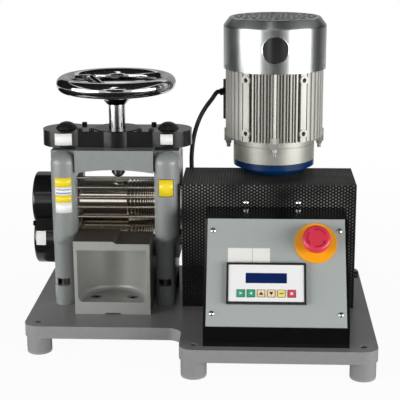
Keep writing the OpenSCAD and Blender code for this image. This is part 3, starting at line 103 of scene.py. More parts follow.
lens = bpy.data.cameras.new("product_camera")
lens.lens = LENS
lens.sensor_width = SENSOR_W
camera = bpy.data.objects.new("product_camera", lens)
camera.location = CAMERA_PLACE
turned = Matrix.Rotation(CAMERA_LEFT, 3, "Z") @ Matrix.Rotation(math.pi / 2 - CAMERA_DOWN, 3, "X")
camera.rotation_euler = (turned @ Matrix.Rotation(CAMERA_ROLL, 3, "Z")).to_euler()
scene.collection.objects.link(camera)
scene.camera = camera
scene.view_settings.view_transform = "Standard"
print("camera", LENS, "mm lens")

# %% [markdown]
# ## Working with materials
# Each finish is a small node tree round one Principled shader. Object coordinates are in metres
# here, so a pattern's scale is one over the real size of its grain. One helper starts a material
# with its even values and one adds any node with its settings and links. The others are the few
# steps that come again and again: arithmetic, a mix of two colours, a ramp, a noise.

# %% Material helpers
# The Mix node keeps its two colours and its result at these places
MIX_FIRST, MIX_SECOND, MIX_RESULT = 6, 7, 2


def shader_of(material):
    """The material's Principled shader."""
    return material.node_tree.nodes["Principled BSDF"]


def start_material(name, **sockets):
    """A new material, with the values that are even all over the surface."""
    material = bpy.data.materials.new(name)
    material.use_nodes = True
    for socket, value in sockets.items():
        shader_of(material).inputs[socket.replace("_", " ")].default_value = value
    return material


def add_node(material, kind, settings=None, links=None):
    """Adds a node. A setting goes to the socket of that name or number, or else to the node itself."""
    tree = material.node_tree
    node = tree.nodes.new("ShaderNode" + kind)
    for name, value in (settings or {}).items():
        if isinstance(name, str) and hasattr(node, name):
            setattr(node, name, value)
    for name, value in (settings or {}).items():
        if not isinstance(name, str) or not hasattr(node, name):
            node.inputs[name].default_value = value
    for name, source in (links or {}).items():
        tree.links.new(source, node.inputs[name])
    return node


def calc(owner, operation, *terms, kind="Math", output="Value"):
    """One step of arithmetic. Each term is a plain value or another node's output."""
    values, links = {"operation": operation}, {}
    for i, term in enumerate(terms):
        (links if isinstance(term, bpy.types.NodeSocket) else values)[i] = term
    return add_node(owner, kind, values, links).outputs[output]


def vector_calc(owner, operation, *terms):
    """The same for vectors. A length comes out as a plain value."""
    output = "Value" if operation == "LENGTH" else "Vector"
    return calc(owner, operation, *terms, kind="VectorMath", output=output)


def split(material, vector):
    """The three parts of a vector."""
    return add_node(material, "SeparateXYZ", None, {0: vector}).outputs


def ramp(material, value, start, end, low=0.0, high=1.0):
    """Carries a value over from one range to another, and holds it at the ends."""
    limits = {"From Min": start, "From Max": end, "To Min": low, "To Max": high}
    return add_node(material, "MapRange", limits, {"Value": value}).outputs[0]


def mix_colours(material, share, first, second):
    """A colour between two. Each is a hex colour or another node's output."""
    values, links = {"data_type": "RGBA"}, {0: share}
    for i, colour in ((MIX_FIRST, first), (MIX_SECOND, second)):
        if isinstance(colour, str):
            values[i] = linear(colour)
        else:
            links[i] = colour
    return add_node(material, "Mix", values, links).outputs[MIX_RESULT]


def place_of(material, stretch=(1, 1, 1)):
    """The surface's own coordinates in metres, stretched for patterns that run one way."""
    spot = add_node(material, "TexCoord").outputs["Object"]
    return add_node(material, "Mapping", {"Scale": stretch}, {"Vector": spot}).outputs[0]


def noise_of(material, grain, stretch=(1, 1, 1), detail=3.0):
    """A noise of that grain in millimetres, from 0 to 1."""
    settings = {"Scale": 1 / (grain * MM), "Detail": detail}
    return add_node(material, "TexNoise", settings, {"Vector": place_of(material, stretch)}).outputs[0]


def feed(material, socket, source):
    """Leads another node's output into one of the shader's sockets."""
    material.node_tree.links.new(source, shader_of(material).inputs[socket])


def tone_of(material):
    """What feeds the shader's colour so far."""
    return shader_of(material).inputs["Base Color"].links[0].from_socket


def surface(name, colours, grain, relief, stretch=(1, 1, 1), detail=3.0, **sockets):
    """Two colours that drift into each other by a noise. Grain and relief are in millimetres."""
    material = start_material(name, **sockets)
    noise = noise_of(material, grain, stretch, detail)
    feed(material, "Base Color", mix_colours(material, noise, *colours))
    bump = add_node(material, "Bump", {"Distance": relief * MM}, {"Height": noise})
    feed(material, "Normal", bump.outputs[0])
    return material


def vary_roughness(material, low, high, grain, stretch=(1, 1, 1)):
    """Roughness that wanders between two values, as handling and tools leave it."""
    noise = noise_of(material, grain, stretch, detail=4.0)
    feed(material, "Roughness", ramp(material, noise, 0.0, 1.0, low, high))


def linked_object(name, build):
    """Turns mesh code into an object of the scene."""
    data = bpy.data.meshes.new(name)
    build.to_mesh(data)
    build.free()
    piece = bpy.data.objects.new(name, data)
    scene.collection.objects.link(piece)
    return piece


print("helpers ready")

# %% [markdown]
# ## Cable first
# A rubber-sheathed cable drops from the motor's terminal box behind the guard, runs along the base
# and goes into a gland in the guard's front wall. A curve with a round bevel is the plain way to
# make it, because the curve's own line is the cable's centreline and its length can be measured.
# The points are the ones the solid follows.

# %% Motor cable
def smooth_line(points, steps):
    """A smooth line through points, the curve that a bent cable takes."""
    line = []
    for i in range(len(points) - 1):
        a, b = points[max(i - 1, 0)], points[i]
        c, d = points[i + 1], points[min(i + 2, len(points) - 1)]
        for k in range(steps):
            t = k / steps
            line.append(0.5 * (2 * b + (c - a) * t + (2 * a - 5 * b + 4 * c - d) * t ** 2
                               + (3 * b - a - 3 * c + d) * t ** 3))
    return line + [points[-1]]


def round_curve(name, points, radius, steps=6):
    """A curve with a round section. Each knot's radius scales a bevel of one metre."""
    curve = bpy.data.curves.new(name, "CURVE")
    curve.dimensions = "3D"
    curve.bevel_depth = 1.0
    curve.bevel_resolution = steps
    curve.use_fill_caps = True
    spline = curve.splines.new("POLY")
    spline.points.add(len(points) - 1)
    for knot, point in zip(spline.points, points):
        knot.co = (*point, 1)
        knot.radius = radius
    spline.use_smooth = True
    piece = bpy.data.objects.new(name, curve)
    scene.collection.objects.link(piece)
    return piece


CABLE_D, CABLE_STEPS = 7 * MM, 10
# Places and lengths on the drawing, in millimetres
GLAND_LEN, CABLE_SEAT, BOX_LEAD, WALL_LEAD = 13, 6, 8, 10
BOX_TURN = math.radians(130)
BOX_MIDDLE, BOX_HALF, GLAND_DROP = 79.375, 30, 18
GUARD_T, WALL_GLAND_X, WALL_GLAND_Z = 1.5, 30, 16
box_out = Vector((math.cos(BOX_TURN), math.sin(BOX_TURN), 0))
box_along = Vector((-math.sin(BOX_TURN), math.cos(BOX_TURN), 0))
gland_z = (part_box("terminal_box")[1].z - deck) / MM - GLAND_DROP
box_mouth = (Vector((*motor_axis, 0)) / MM + BOX_MIDDLE * box_out + (BOX_HALF + GLAND_LEN) * box_along
             + Vector((0, 0, gland_z)))
wall_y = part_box("guard")[0].y / MM + GUARD_T + GLAND_LEN
wall_mouth = Vector((WALL_GLAND_X, wall_y, WALL_GLAND_Z))
inward = Vector((0, 1, 0))
# The bends between the two glands, with heights over the deck
route = [
    (14, 118, 299), (4, 113, 286), (-5, 109, 270), (-12, 107, 250), (-16, 106, 230), (-18, 106, 208),
    (-18, 106, 185), (-18, 106, 120), (-18, 106, 50), (-18, 103, 30), (-18, 94, 19), (-18, 80, 16),
    (-17, 58, 16), (-10, 42, 16), (4, 31, 16), (20, 22, 16),
]
stations = ([box_mouth - CABLE_SEAT * box_along, box_mouth, box_mouth + BOX_LEAD * box_along]
            + [Vector(p) for p in route]
            + [wall_mouth + WALL_LEAD * inward, wall_mouth, wall_mouth - CABLE_SEAT * inward])
cable_line = [p * MM + Vector((0, 0, deck)) for p in smooth_line(stations, CABLE_STEPS)]
cable = round_curve("motor_cable_sheath", cable_line, CABLE_D / 2)
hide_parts("motor_cable")
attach(cable, "frame")

# %% [markdown]
# ## The studio
# The picture is a catalogue picture: a white sweep and a wide, low soft lamp on each side. The
# world and the floor show white to the camera and to reflections, and give the object only a plain
# fill. The floor mixes that white with a real diffuse surface, so the object keeps its shadow.

# %% White world and floor
FILL, WHITE = 0.05, linear("#ffffff")
FLOOR_R, FADE_R, SHADOW_R, FLOOR_WHITE, FLOOR_SIDES = 2.2, 1.32, 0.3, 0.95, 96


def seen_directly(owner):
    """One for the rays that show the background itself: camera, glossy and transmission rays."""
    rays = add_node(owner, "LightPath").outputs
    direct = calc(owner, "MAXIMUM", rays["Is Camera Ray"], rays["Is Glossy Ray"])
    return calc(owner, "MAXIMUM", direct, rays["Is Transmission Ray"])


def mix_surfaces(owner, share, first, second, output):
    """Mixes two shaders and leads the result to the tree's output."""
    both = add_node(owner, "MixShader", None, {0: share, 1: first.outputs[0], 2: second.outputs[0]})
    owner.node_tree.links.new(both.outputs[0], owner.node_tree.nodes[output].inputs["Surface"])


world = bpy.data.worlds.new("white_studio")
scene.world = world
world.use_nodes = True
lit = world.node_tree.nodes["Background"]
lit.inputs["Color"].default_value = WHITE
lit.inputs["Strength"].default_value = FILL
shown = add_node(world, "Background", {"Color": WHITE, "Strength": 1.0})
mix_surfaces(world, seen_directly(world), lit, shown, "World Output")

sweep = bmesh.new()
bmesh.ops.create_circle(sweep, cap_ends=True, segments=FLOOR_SIDES, radius=FLOOR_R)
floor = linked_object("floor", sweep)
paper = start_material("white paper sweep", Roughness=0.9, Base_Color=linear("#f2f2f2"))
distance = vector_calc(paper, "LENGTH", place_of(paper))
fade = ramp(paper, distance, SHADOW_R, FADE_R, FLOOR_WHITE, 1.0)
glow = add_node(paper, "Emission", {"Color": WHITE, "Strength": 1.0})
share = calc(paper, "MULTIPLY", fade, seen_directly(paper))
mix_surfaces(paper, share, shader_of(paper), glow, "Material Output")
floor.data.materials.append(paper)
print("floor", FLOOR_R * 2, "m across")

# %% [markdown]
# Chrome and polished sheet show nothing of their own, only what stands round them. So three small
# lamps are there to be mirrored: a strip above the camera draws a thin line on every round bar, a
# box overhead lights the shoulder of the cowl, and a low strip far in front lights the middle of
# the rolls. Black cards beside the lamps give bright metal the dark bands that tell its shape. The
# cards are seen by reflections alone and cast no shade. A half open scrim hangs behind, so that
# tops seen at a low angle don't turn white.

# %% Lamps and black cards
LOOK_AT = Vector((0, 0, 0.22))
SCRIM = 0.58
# Each lamp: its place, its width and height in metres, and its watts
LAMPS = {
    "left_soft_box": ((-1.65, -1.05, 0.36), 2.0, 0.7, 34),
    "right_soft_box": ((1.87, -1.05, 0.36), 2.0, 0.7, 45),
    "front_strip": ((0.0, -1.9, 1.6), 1.6, 0.22, 2.5),
    "top_box": ((-0.13, -0.85, 1.64), 0.2, 0.6, 0.9),
    "low_strip": ((-0.49, -2.6, 0.27), 0.42, 0.5, 1.1),
}
# Each black card: its place, its width and height in metres
STANDING = {
    "ceiling_card": ((0.0, -0.3, 2.0), 4.4, 5.0),
    "back_scrim": ((0.1, 2.7, 0.95), 5.4, 1.9),
    "front_card": ((0.1, -2.7, 0.95), 1.6, 1.8),
    "left_card": ((-2.2, 0.95, 0.95), 3.4, 1.9),
    "right_card": ((2.4, 0.95, 0.95), 3.4, 1.9),
}
LYING = {
    "front_floor_card": ((-0.02, -1.1, 0.004), 1.55, 2.1),
    "left_floor_card": ((-1.3, 0.45, 0.004), 1.7, 1.5),
    "right_floor_card": ((1.5, 0.45, 0.004), 1.7, 1.5),
}


def face_object(piece, place):
    """Stands a lamp or a card at its place, turned to the object."""
    piece.location = place
    piece.rotation_euler = (LOOK_AT - Vector(place)).to_track_quat("-Z", "Y").to_euler()


for name, (place, width, height, watts) in LAMPS.items():
    lamp = bpy.data.lights.new(name, "AREA")
    lamp.shape = "RECTANGLE"
    lamp.size, lamp.size_y = width, height
    lamp.energy = watts
    lamp_object = bpy.data.objects.new(name, lamp)
    face_object(lamp_object, place)
    scene.collection.objects.link(lamp_object)

card_paint = surface("black card", ("#121212", "#1a1a1a"),
                     grain=40, relief=0.1, Roughness=0.9)
scrim_cloth = surface("half open black scrim", ("#121212", "#1a1a1a"),
                      grain=40, relief=0.1, Roughness=0.9, Alpha=SCRIM)


def black_card(name, width, height, paint):
    """A card that shows in reflections only."""
    build = bmesh.new()
    x, y = width / 2, height / 2
    build.faces.new([build.verts.new(c) for c in ((-x, -y, 0), (x, -y, 0), (x, y, 0), (-x, y, 0))])
    card = linked_object(name, build)
    card.data.materials.append(paint)
    for ray in ("camera", "diffuse", "shadow", "transmission"):
        setattr(card, "visible_" + ray, False)
    return card


for name, (place, width, height) in STANDING.items():
    paint = scrim_cloth if name == "back_scrim" else card_paint
    face_object(black_card(name, width, height, paint), place)
for name, (place, width, height) in LYING.items():
    black_card(name, width, height, card_paint).location = place
print("lamps", len(LAMPS), "cards", len(STANDING) + len(LYING))

# %% [markdown]
# ## Paints
# The castings are enamelled. Enamel flows out while it dries and keeps a faint orange-peel skin,
# and on a rough casting the sand's grain shows through it. A noise of about the grain's size gives
# both the slight drift in tone and the relief that breaks up highlights.

# %% Enamels
# Grey enamel on a milled casting: even, half gloss, with a fine orange peel
base_enamel = surface("grey enamel on milled iron", ("#868686", "#8f8f8f"),
                      grain=9, relief=0.05, Roughness=0.36)
vary_roughness(base_enamel, low=0.3, high=0.42, grain=30)

# Grey enamel on a sand casting: the grain is left coarse enough to show at the picture's scale
frame_enamel = surface("grey enamel on sand-cast iron", ("#7d817f", "#8b8f8d"),
                       grain=3.5, relief=0.16, Roughness=0.34)

# Satin black enamel: dark and calm, with soft broad highlights
black_enamel = surface("satin black enamel", ("#131313", "#1b1b1b"),
                       grain=6, relief=0.008, detail=1.0, Roughness=0.17)
vary_roughness(black_enamel, low=0.14, high=0.21, grain=25)

# Gloss black powder coat: deep and mirror-like, with the long waves of baked powder
console_enamel = surface("gloss black powder coat", ("#080808", "#0e0e0e"),
                         grain=7, relief=0.012, detail=1.0, Roughness=0.16)

# Gloss blue enamel on the gearbox casting
blue_enamel = surface("gloss blue enamel on cast iron", ("#03264c", "#052f5b"),
                      grain=5, relief=0.06, Roughness=0.26, Specular_IOR_Level=0.3)
print("enamels 5")

# %% [markdown]
# The guard is black sheet with punched round holes in a triangle pattern. Thousands of real holes
# would only slow everything down, so the shader makes them: two square lattices, one set between
# the other, give the distance to the nearest hole. A hole is only a little see-through: the rest of it
# is filled with painted light and shade. It is light in noise patches and towards the guard's top,
# where light shows through the holes, and dark further down. The sheet's top face is painted
# lighter, a painted sheen.
# The face's own direction chooses the two coordinates that lie in the sheet. The holes are drawn a
# little wider apart than real ones, or the picture would blur them.

# %% Perforated sheet
HOLE_PITCH, HOLE_R = 5.0 * MM, 1.4 * MM
ROW = HOLE_PITCH * math.sqrt(3)
HOLE_FILL, HALFWAY = 0.9, 0.5
PATCH, PATCH_DARK, PATCH_LIGHT = 70, 0.35, 0.65

perforated = surface("black perforated steel sheet", ("#0c0b0b", "#131212"),
                     grain=3, relief=0.03, Roughness=0.55, Specular_IOR_Level=0.1)
sheet_tone = tone_of(perforated)
normal = add_node(perforated, "NewGeometry").outputs["True Normal"]
facing = split(perforated, vector_calc(perforated, "ABSOLUTE", normal))
spot = split(perforated, place_of(perforated))
side_face = calc(perforated, "GREATER_THAN", facing[0], HALFWAY)
top_face = calc(perforated, "GREATER_THAN", facing[2], HALFWAY)
either = {"data_type": "FLOAT"}
across = add_node(perforated, "Mix", either, {0: side_face, 2: spot[0], 3: spot[1]}).outputs[0]
along = add_node(perforated, "Mix", either, {0: top_face, 2: spot[2], 3: spot[1]}).outputs[0]
sheet_spot = add_node(perforated, "CombineXYZ", None, {0: across, 1: along}).outputs[0]
cell = (ROW / 2, HOLE_PITCH / 2, 1)
nearest = []
for shift in ((0, 0, 0), cell):
    shifted = vector_calc(perforated, "ADD", sheet_spot, shift)
    folded = vector_calc(perforated, "WRAP", shifted, cell, tuple(-c for c in cell))
    level = vector_calc(perforated, "MULTIPLY", folded, (1, 1, 0))
    nearest.append(vector_calc(perforated, "LENGTH", level))
metal = calc(perforated, "GREATER_THAN", calc(perforated, "MINIMUM", *nearest), HOLE_R)
patches = ramp(perforated, noise_of(perforated, PATCH, detail=1.0), PATCH_DARK, PATCH_LIGHT)
guard_low, guard_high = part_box("guard")
lift = ramp(perforated, spot[2], guard_low.z, guard_high.z)
# Painted light and shade in the holes: lighter in noise patches and towards the top, darker below
painted_see_through_tone = mix_colours(perforated, calc(perforated, "MULTIPLY", patches, lift), "#1e1e1d", "#82817e")
# Painted sheen: the sheet's top face is lighter than its sides and front
painted_top_sheen = mix_colours(perforated, top_face, sheet_tone, "#3d3c3b")
feed(perforated, "Base Color", mix_colours(perforated, metal, painted_see_through_tone, painted_top_sheen))
# The holes stay mostly filled by the painted tone and let only a little show through
feed(perforated, "Alpha", ramp(perforated, metal, 0.0, 1.0, HOLE_FILL, 1.0))
print("perforation", HOLE_PITCH / MM, "mm pitch")

# %% [markdown]
# ## Metals
# A metal has no colour of its own beyond the tint of its reflection, so what tells one from another
# is how the surface was made. Turned and ground parts keep fine lines round the axis, milled faces
# keep straight ones, castings are dull and grainy, and plating is smooth.

# %% Metals
# Milled steel: grey, with straight cutter lines across the face
machined_steel = surface("milled steel", ("#9b9b98", "#adada9"),
                         grain=2, relief=0.015, stretch=(0.15, 1, 6), Metallic=0.35,
                         Roughness=0.45)
vary_roughness(machined_steel, low=0.4, high=0.52, grain=3, stretch=(0.2, 1, 4))

# The feed table is milled steel too. Its upward faces near the top are painted dark, brown and
# dull: painted shade and a painted dark reflection of the rolls and frame above.
DARK_TOP_DEPTH, UPWARD = 22 * MM, 0.6
table_steel = surface("milled steel with a painted dark top", ("#9b9b98", "#adada9"),
                      grain=2, relief=0.015, stretch=(6, 1, 0.15), Metallic=0.35,
                      Roughness=0.45)
slant = split(table_steel, add_node(table_steel, "NewGeometry").outputs["True Normal"])
height = split(table_steel, place_of(table_steel))[2]
# Painted shade and reflection: upward faces near the table's top get a dark colour and a weak
# reflection
upper = calc(table_steel, "GREATER_THAN", height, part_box("feed_table")[1].z - DARK_TOP_DEPTH)
painted_dark_top = calc(table_steel, "MULTIPLY", calc(table_steel, "GREATER_THAN", slant[2], UPWARD), upper)
feed(table_steel, "Base Color", mix_colours(table_steel, painted_dark_top, tone_of(table_steel), "#55504b"))
for socket, bare, on_dark_top in (("Metallic", 0.35, 0.0), ("Specular IOR Level", 0.5, 0.1)):
    feed(table_steel, socket, ramp(table_steel, painted_dark_top, 0.0, 1.0, bare, on_dark_top))

# Bright zinc plating: pale and slightly milky
zinc_steel = surface("zinc plated steel", ("#b9babb", "#cfd0d1"),
                     grain=2, relief=0.01, Metallic=1.0, Roughness=0.24)

# Zinc plating on the motor's bolts, darker and duller than the bright zinc
dull_zinc = surface("dull zinc plated steel", ("#858685", "#979897"),
                    grain=2, relief=0.02, Metallic=0.6, Roughness=0.5)

# Black oxide on cap screws: dark, oily, half gloss
black_steel = surface("blackened steel", ("#1c1c1c", "#282828"),
                      grain=1.5, relief=0.01, Metallic=1.0, Roughness=0.3)

# Ground and polished roll steel: near mirror, faint grinding lines round the axis
polished_steel = surface("ground and polished steel", ("#b8b1a6", "#cfc8bd"),
                         grain=1.6, relief=0.001, stretch=(6, 0.4, 0.4), Metallic=1.0,
                         Roughness=0.14)

# Chrome plate: a hard mirror with a slightly cool tint
chrome_plate = surface("chrome plated steel", ("#b0b1b2", "#bebfc0"),
                       grain=20, relief=0.01, Metallic=1.0, Roughness=0.1)

# Cut gear steel under oil
gear_steel = surface("gear steel under oil", ("#636363", "#787878"),
                     grain=2, relief=0.01, Metallic=1.0, Roughness=0.3)

# Bored bronze of the bushes and the worm wheel
bronze = surface("bored bronze", ("#a07a3c", "#b98d48"),
                 grain=2, relief=0.01, Metallic=1.0, Roughness=0.3)

# Varnished iron laminations inside the motor
iron_core = surface("varnished iron laminations", ("#4a3522", "#5d4429"),
                    grain=0.8, relief=0.05, stretch=(0.1, 0.1, 3), Metallic=0.6,
                    Roughness=0.5)

# Die-cast aluminium: dull, warm grey, with the fine pimples of the die
cast_aluminium = surface("die-cast aluminium", ("#a6a59e", "#b6b5ae"),
                         grain=2.2, relief=0.05, Metallic=0.3, Roughness=0.45)

# The end shield is the same casting, turned on its rim, with its colour painted a little darker as
# painted shade
shield_aluminium = surface("turned die-cast aluminium with painted shade", ("#999891", "#a9a8a1"),
                           grain=2.2, relief=0.04, Metallic=0.6, Roughness=0.45)

# Spun aluminium sheet of the fan cowl: the tool's fine rings run round it, so lights stretch upwards
sheet_aluminium = surface("spun aluminium sheet", ("#a6a9aa", "#bec0c0"),
                          grain=1.4, relief=0.002, stretch=(0.04, 0.04, 1), Metallic=1.0,
                          Roughness=0.36, Anisotropic=0.74, Anisotropic_Rotation=0.25)
round_axis = add_node(sheet_aluminium, "Tangent", {"direction_type": "RADIAL", "axis": "Z"})
feed(sheet_aluminium, "Tangent", round_axis.outputs[0])

# Grey lacquer on the control panel's aluminium plate: flat and even with a fine tooth
panel_aluminium = surface("grey lacquered aluminium", ("#a0a7a5", "#a9b0ae"),
                          grain=1.2, relief=0.015, Roughness=0.45)
print("metals 14")

# %% [markdown]
# ## Plastics and rubber
# Moulded plastic takes the texture of its mould, a fine even grain, and its edges are never sharp.
# The display's keys are a printed film over domes, duller than the face round them.

# %% Plastics
def moulded(name, colours, roughness, grain=0.9, relief=0.01):
    """A moulded plastic: two close tones and a fine mould grain."""
    return surface(name, colours, grain, relief, Roughness=roughness, IOR=1.5)


black_plastic = moulded("black moulded nylon", ("#131313", "#1b1b1b"), 0.42, relief=0.03)
white_plastic = moulded("white polyester film", ("#ececec", "#f2f3f2"), 0.35)
yellow_plastic = moulded("yellow moulded plastic", ("#f0a010", "#f5aa18"), 0.32)
red_plastic = moulded("red moulded plastic", ("#cf2c46", "#d9374f"), 0.3)
green_key = moulded("green key film", ("#2a976c", "#34a67a"), 0.4)
cream_key = moulded("cream key film", ("#edd3a3", "#f3dcb0"), 0.4)
yellow_key = moulded("yellow key film", ("#eddb74", "#f3e384"), 0.4)
red_key = moulded("red key film", ("#c93f5a", "#d34b65"), 0.4)
cable_rubber = moulded("black rubber sheath", ("#0e0e0e", "#161616"), 0.45, grain=1.5, relief=0.03)

# Display glass: deep blue behind a clear, glossy cover
blue_display = surface("dark blue display glass", ("#0d2054", "#11285f"),
                       grain=1.4, relief=0.001, Roughness=0.08, Coat_Weight=0.6,
                       Coat_Roughness=0.04)
print("plastics 10")

# %% [markdown]
# ## Dress the solids
# The record names a slot for each solid, so the finishes go on by slot. A real edge is never a
# knife edge: it is broken by a file, rounded by the mould or softened by paint. A Bevel modifier
# rounds the edges for the light to catch. Before it, Weld joins the faces and Decimate merges flat
# ones, so that the bevel runs clean.

# %% Finishes by slot
finishes = dict(
    base_enamel=base_enamel, frame_enamel=frame_enamel, black_enamel=black_enamel,
    console_enamel=console_enamel, blue_enamel=blue_enamel, machined_steel=machined_steel,
    zinc_steel=zinc_steel, black_steel=black_steel, polished_steel=polished_steel,
    chrome_plate=chrome_plate, gear_steel=gear_steel, bronze=bronze, iron_core=iron_core,
    cast_aluminium=cast_aluminium, sheet_aluminium=sheet_aluminium,
    panel_aluminium=panel_aluminium, black_plastic=black_plastic, white_plastic=white_plastic,
    blue_display=blue_display, yellow_plastic=yellow_plastic, red_plastic=red_plastic,
    green_key=green_key, cream_key=cream_key, yellow_key=yellow_key, red_key=red_key,
    cable_rubber=cable_rubber,
)
for part in frame["record"]["subparts"]:
    solid_data = nodes[part["node"]].data
    solid_data.materials.clear()
    solid_data.materials.append(finishes[part["material_slot"]])
special = {
    "guard": perforated, "shaft_bearing": black_steel, "frame_screws": gear_steel,
    "motor_fasteners": dull_zinc, "feed_table": table_steel, "motor_end_shield": shield_aluminium,
}
for name, finish in special.items():
    nodes[name].data.materials[0] = finish
cable.data.materials.append(cable_rubber)

# Width of the rounded edges in millimetres
EDGES = {
    "base_plate": 3.5, "feet": 1.2, "left_cheek": 1.5, "right_cheek": 1.5, "top_bridge": 2,
    "top_cover": 1.6, "gear_cover": 1.5, "console": 1.0, "panel": 0.5, "feed_table": 0.5,
    "handwheel": 1.5, "display_frame": 0.8, "display_face": 0.2, "estop_collar": 0.5,
    "estop_head": 1.2, "terminal_box": 1.5, "motor_end_shield": 0.8, "gearbox_housing": 1.5,
    "shaft_bearing": 0.5, "handwheel_shaft": 0.6, "cable_glands": 0.5, "cover_caps": 0.5,
    "frame_screws": 0.6, "cover_screws": 0.5, "sheet_screws": 0.3, "motor_fasteners": 0.4,
    "guard_rods": 0.4,
}
WELD_GAP, EDGE_STEPS = 0.002 * MM, 3
FLAT_LIMIT, EDGE_LIMIT = math.radians(0.4), math.radians(34)
for name, width in EDGES.items():
    modifiers = nodes[name].modifiers
    modifiers.new("joined", "WELD").merge_threshold = WELD_GAP
    flat = modifiers.new("flat faces", "DECIMATE")
    flat.decimate_type = "DISSOLVE"
    flat.angle_limit = FLAT_LIMIT
    edge = modifiers.new("rounded edges", "BEVEL")
    edge.width = width * MM
    edge.segments = EDGE_STEPS
    edge.limit_method = "ANGLE"
    edge.angle_limit = EDGE_LIMIT
    modifiers.new("even shading", "WEIGHTED_NORMAL").keep_sharp = True
print("edges rounded on", len(EDGES), "solids")

# %% [markdown]
# ## New pieces
# A few fine forms are meshes of their own. Each gets its finish and rides on a body, so that it
# moves with that body's joints. Most of them are rows of points with faces between the rows.

# %% Helpers for new pieces
def new_piece(name, build, material, body, smooth=True):
    """Turns mesh code into an object with its finish, on its body."""
    piece = linked_object(name, build)
    for face in piece.data.polygons:
        face.use_smooth = smooth
    piece.data.materials.append(material)
    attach(piece, body)
    return piece


def motor_ring(build, radius, height, sectors):
    """A row of points round the motor's axis."""
    turns = [2 * math.pi * k / sectors for k in range(sectors)]
    spots = [(radius * math.cos(a), radius * math.sin(a)) for a in turns]
    return [build.verts.new((motor_axis.x + x, motor_axis.y + y, height)) for x, y in spots]


def skin(build, rows, left_out=None):
    """Faces between closed rows of points, without the cells left out."""
    for i, (inner, outer) in enumerate(zip(rows, rows[1:])):
        for k in range(len(inner)):
            after = (k + 1) % len(inner)
            if not (left_out and left_out(i, k)):
                build.faces.new((inner[k], outer[k], outer[after], inner[after]))
    bmesh.ops.recalc_face_normals(build, faces=build.faces)


def strip(build, pairs):
    """Faces between pairs of points that follow each other."""
    for left, right in zip(pairs, pairs[1:]):
        build.faces.new((left[0], right[0], right[1], left[1]))


def rounded(points, radius, steps=4):
    """A profile whose inner corners are replaced by small arcs."""
    out = [Vector(points[0])]
    for before, corner, after in zip(points, points[1:], points[2:]):
        corner = Vector(corner)
        back, on = (Vector(before) - corner).normalized(), (Vector(after) - corner).normalized()
        start, end = corner + radius * back, corner + radius * on
        for k in range(steps + 1):
            t = k / steps
            out.append((1 - t) ** 2 * start + 2 * t * (1 - t) * corner + t ** 2 * end)
    return out + [Vector(points[-1])]


print("mesh helpers ready")

# %% [markdown]
# ## Fan cowl
# The cowl is one pressing of thin sheet: a straight skirt, a sloping shoulder and a flat top with
# rows of short slots, each row set half a slot round from the next. A lathe would make the skirt,
# but the slots need a grid. So the mesh is a polar grid of rings and sectors in which the slots are
# simply left out, and Solidify gives the sheet its thickness. Two rings close to the skirt's ends
# keep its shading straight.

# %% Cowl with its slots
SECTORS, SLOT_SECTORS, RIB_SECTORS = 144, 6, 3
SLOT_STEP = SLOT_SECTORS + RIB_SECTORS
SLOT_ROWS, ROW_PITCH, SLOT_W, FIRST_ROW = 8, 7.6 * MM, 5 * MM, 4 * MM
SHEET_T, SHOULDER, SHOULDER_H, HOLD = 1.5 * MM, 9.4 * MM, 12.5 * MM, 0.4 * MM
HUB_R, TOP_LIP, BEND_R = 0.002 * MM, 3 * MM, 2 * MM

cowl_low, cowl_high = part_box("fan_cowl")
cowl_r = (cowl_high.y - cowl_low.y) / 2
flat_r = cowl_r - SHOULDER
rings = [(HUB_R, cowl_high.z)]
for row in range(SLOT_ROWS):
    row_r = FIRST_ROW + row * ROW_PITCH
    rings += [(row_r, cowl_high.z), (row_r + SLOT_W, cowl_high.z)]
skirt = rounded([(flat_r - TOP_LIP, cowl_high.z), (flat_r, cowl_high.z),
                 (cowl_r, cowl_high.z - SHOULDER_H), (cowl_r, cowl_low.z)], BEND_R)
rings += [tuple(v) for v in skirt[:-1]]
rings += [(cowl_r, skirt[-2].y - HOLD), (cowl_r, cowl_low.z + HOLD), (cowl_r, cowl_low.z)]


def is_slot(row, sector):
    """Every second row of the flat top holds slots, each row half a step round from the last."""
    stagger = row // 2 % 2 * SLOT_STEP // 2
    return row % 2 == 1 and row < 2 * SLOT_ROWS and (sector + stagger) % SLOT_STEP < SLOT_SECTORS


build = bmesh.new()
skin(build, [motor_ring(build, radius, height, SECTORS) for radius, height in rings], is_slot)
cowl = new_piece("fan_cowl_pressing", build, sheet_aluminium, "frame")
sheet = cowl.modifiers.new("sheet", "SOLIDIFY")
sheet.thickness = SHEET_T
sheet.offset = -1
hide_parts("fan_cowl")
print("cowl slots", SLOT_ROWS * SECTORS // SLOT_STEP)

# %% [markdown]
# A round plate with a bright rim sits on the cowl's front. It is left blank. A disc of rings and
# sectors is wrapped on the cowl's curve, so it lies on the sheet all over.

# %% Round plate on the cowl
PLATE_R, PLATE_RISE, PLATE_Z = 21 * MM, 0.5 * MM, 434.7 * MM
PLATE_HUB, PLATE_STEPS, DISC_SECTORS = 0.01 * MM, 8, 64
RIM_W, RIM_IN, RIM_TOP, RIM_OUT, RIM_SINK = 1.6 * MM, 0.9 * MM, 1.1 * MM, 0.8 * MM, 0.2 * MM


def wrapped(axis, radius, turn, reach, height):
    """A point that far along the curve of an upright cylinder, counted from its front."""
    angle = -math.pi / 2 + turn + reach / radius
    return (axis[0] + radius * math.cos(angle), axis[1] + radius * math.sin(angle), height)


def cowl_disc(name, disc_rings, material):
    """Disc rings of (distance from its middle, rise over the cowl), wrapped on the cowl's front."""
    build = bmesh.new()
    turns = [2 * math.pi * k / DISC_SECTORS for k in range(DISC_SECTORS)]
    rows = []
    for reach, rise in disc_rings:
        spots = [(reach * math.cos(a), PLATE_Z + reach * math.sin(a)) for a in turns]
        rows.append([build.verts.new(wrapped(motor_axis, cowl_r + rise, 0, u, z)) for u, z in spots])
    skin(build, rows)
    new_piece(name, build, material, "frame")


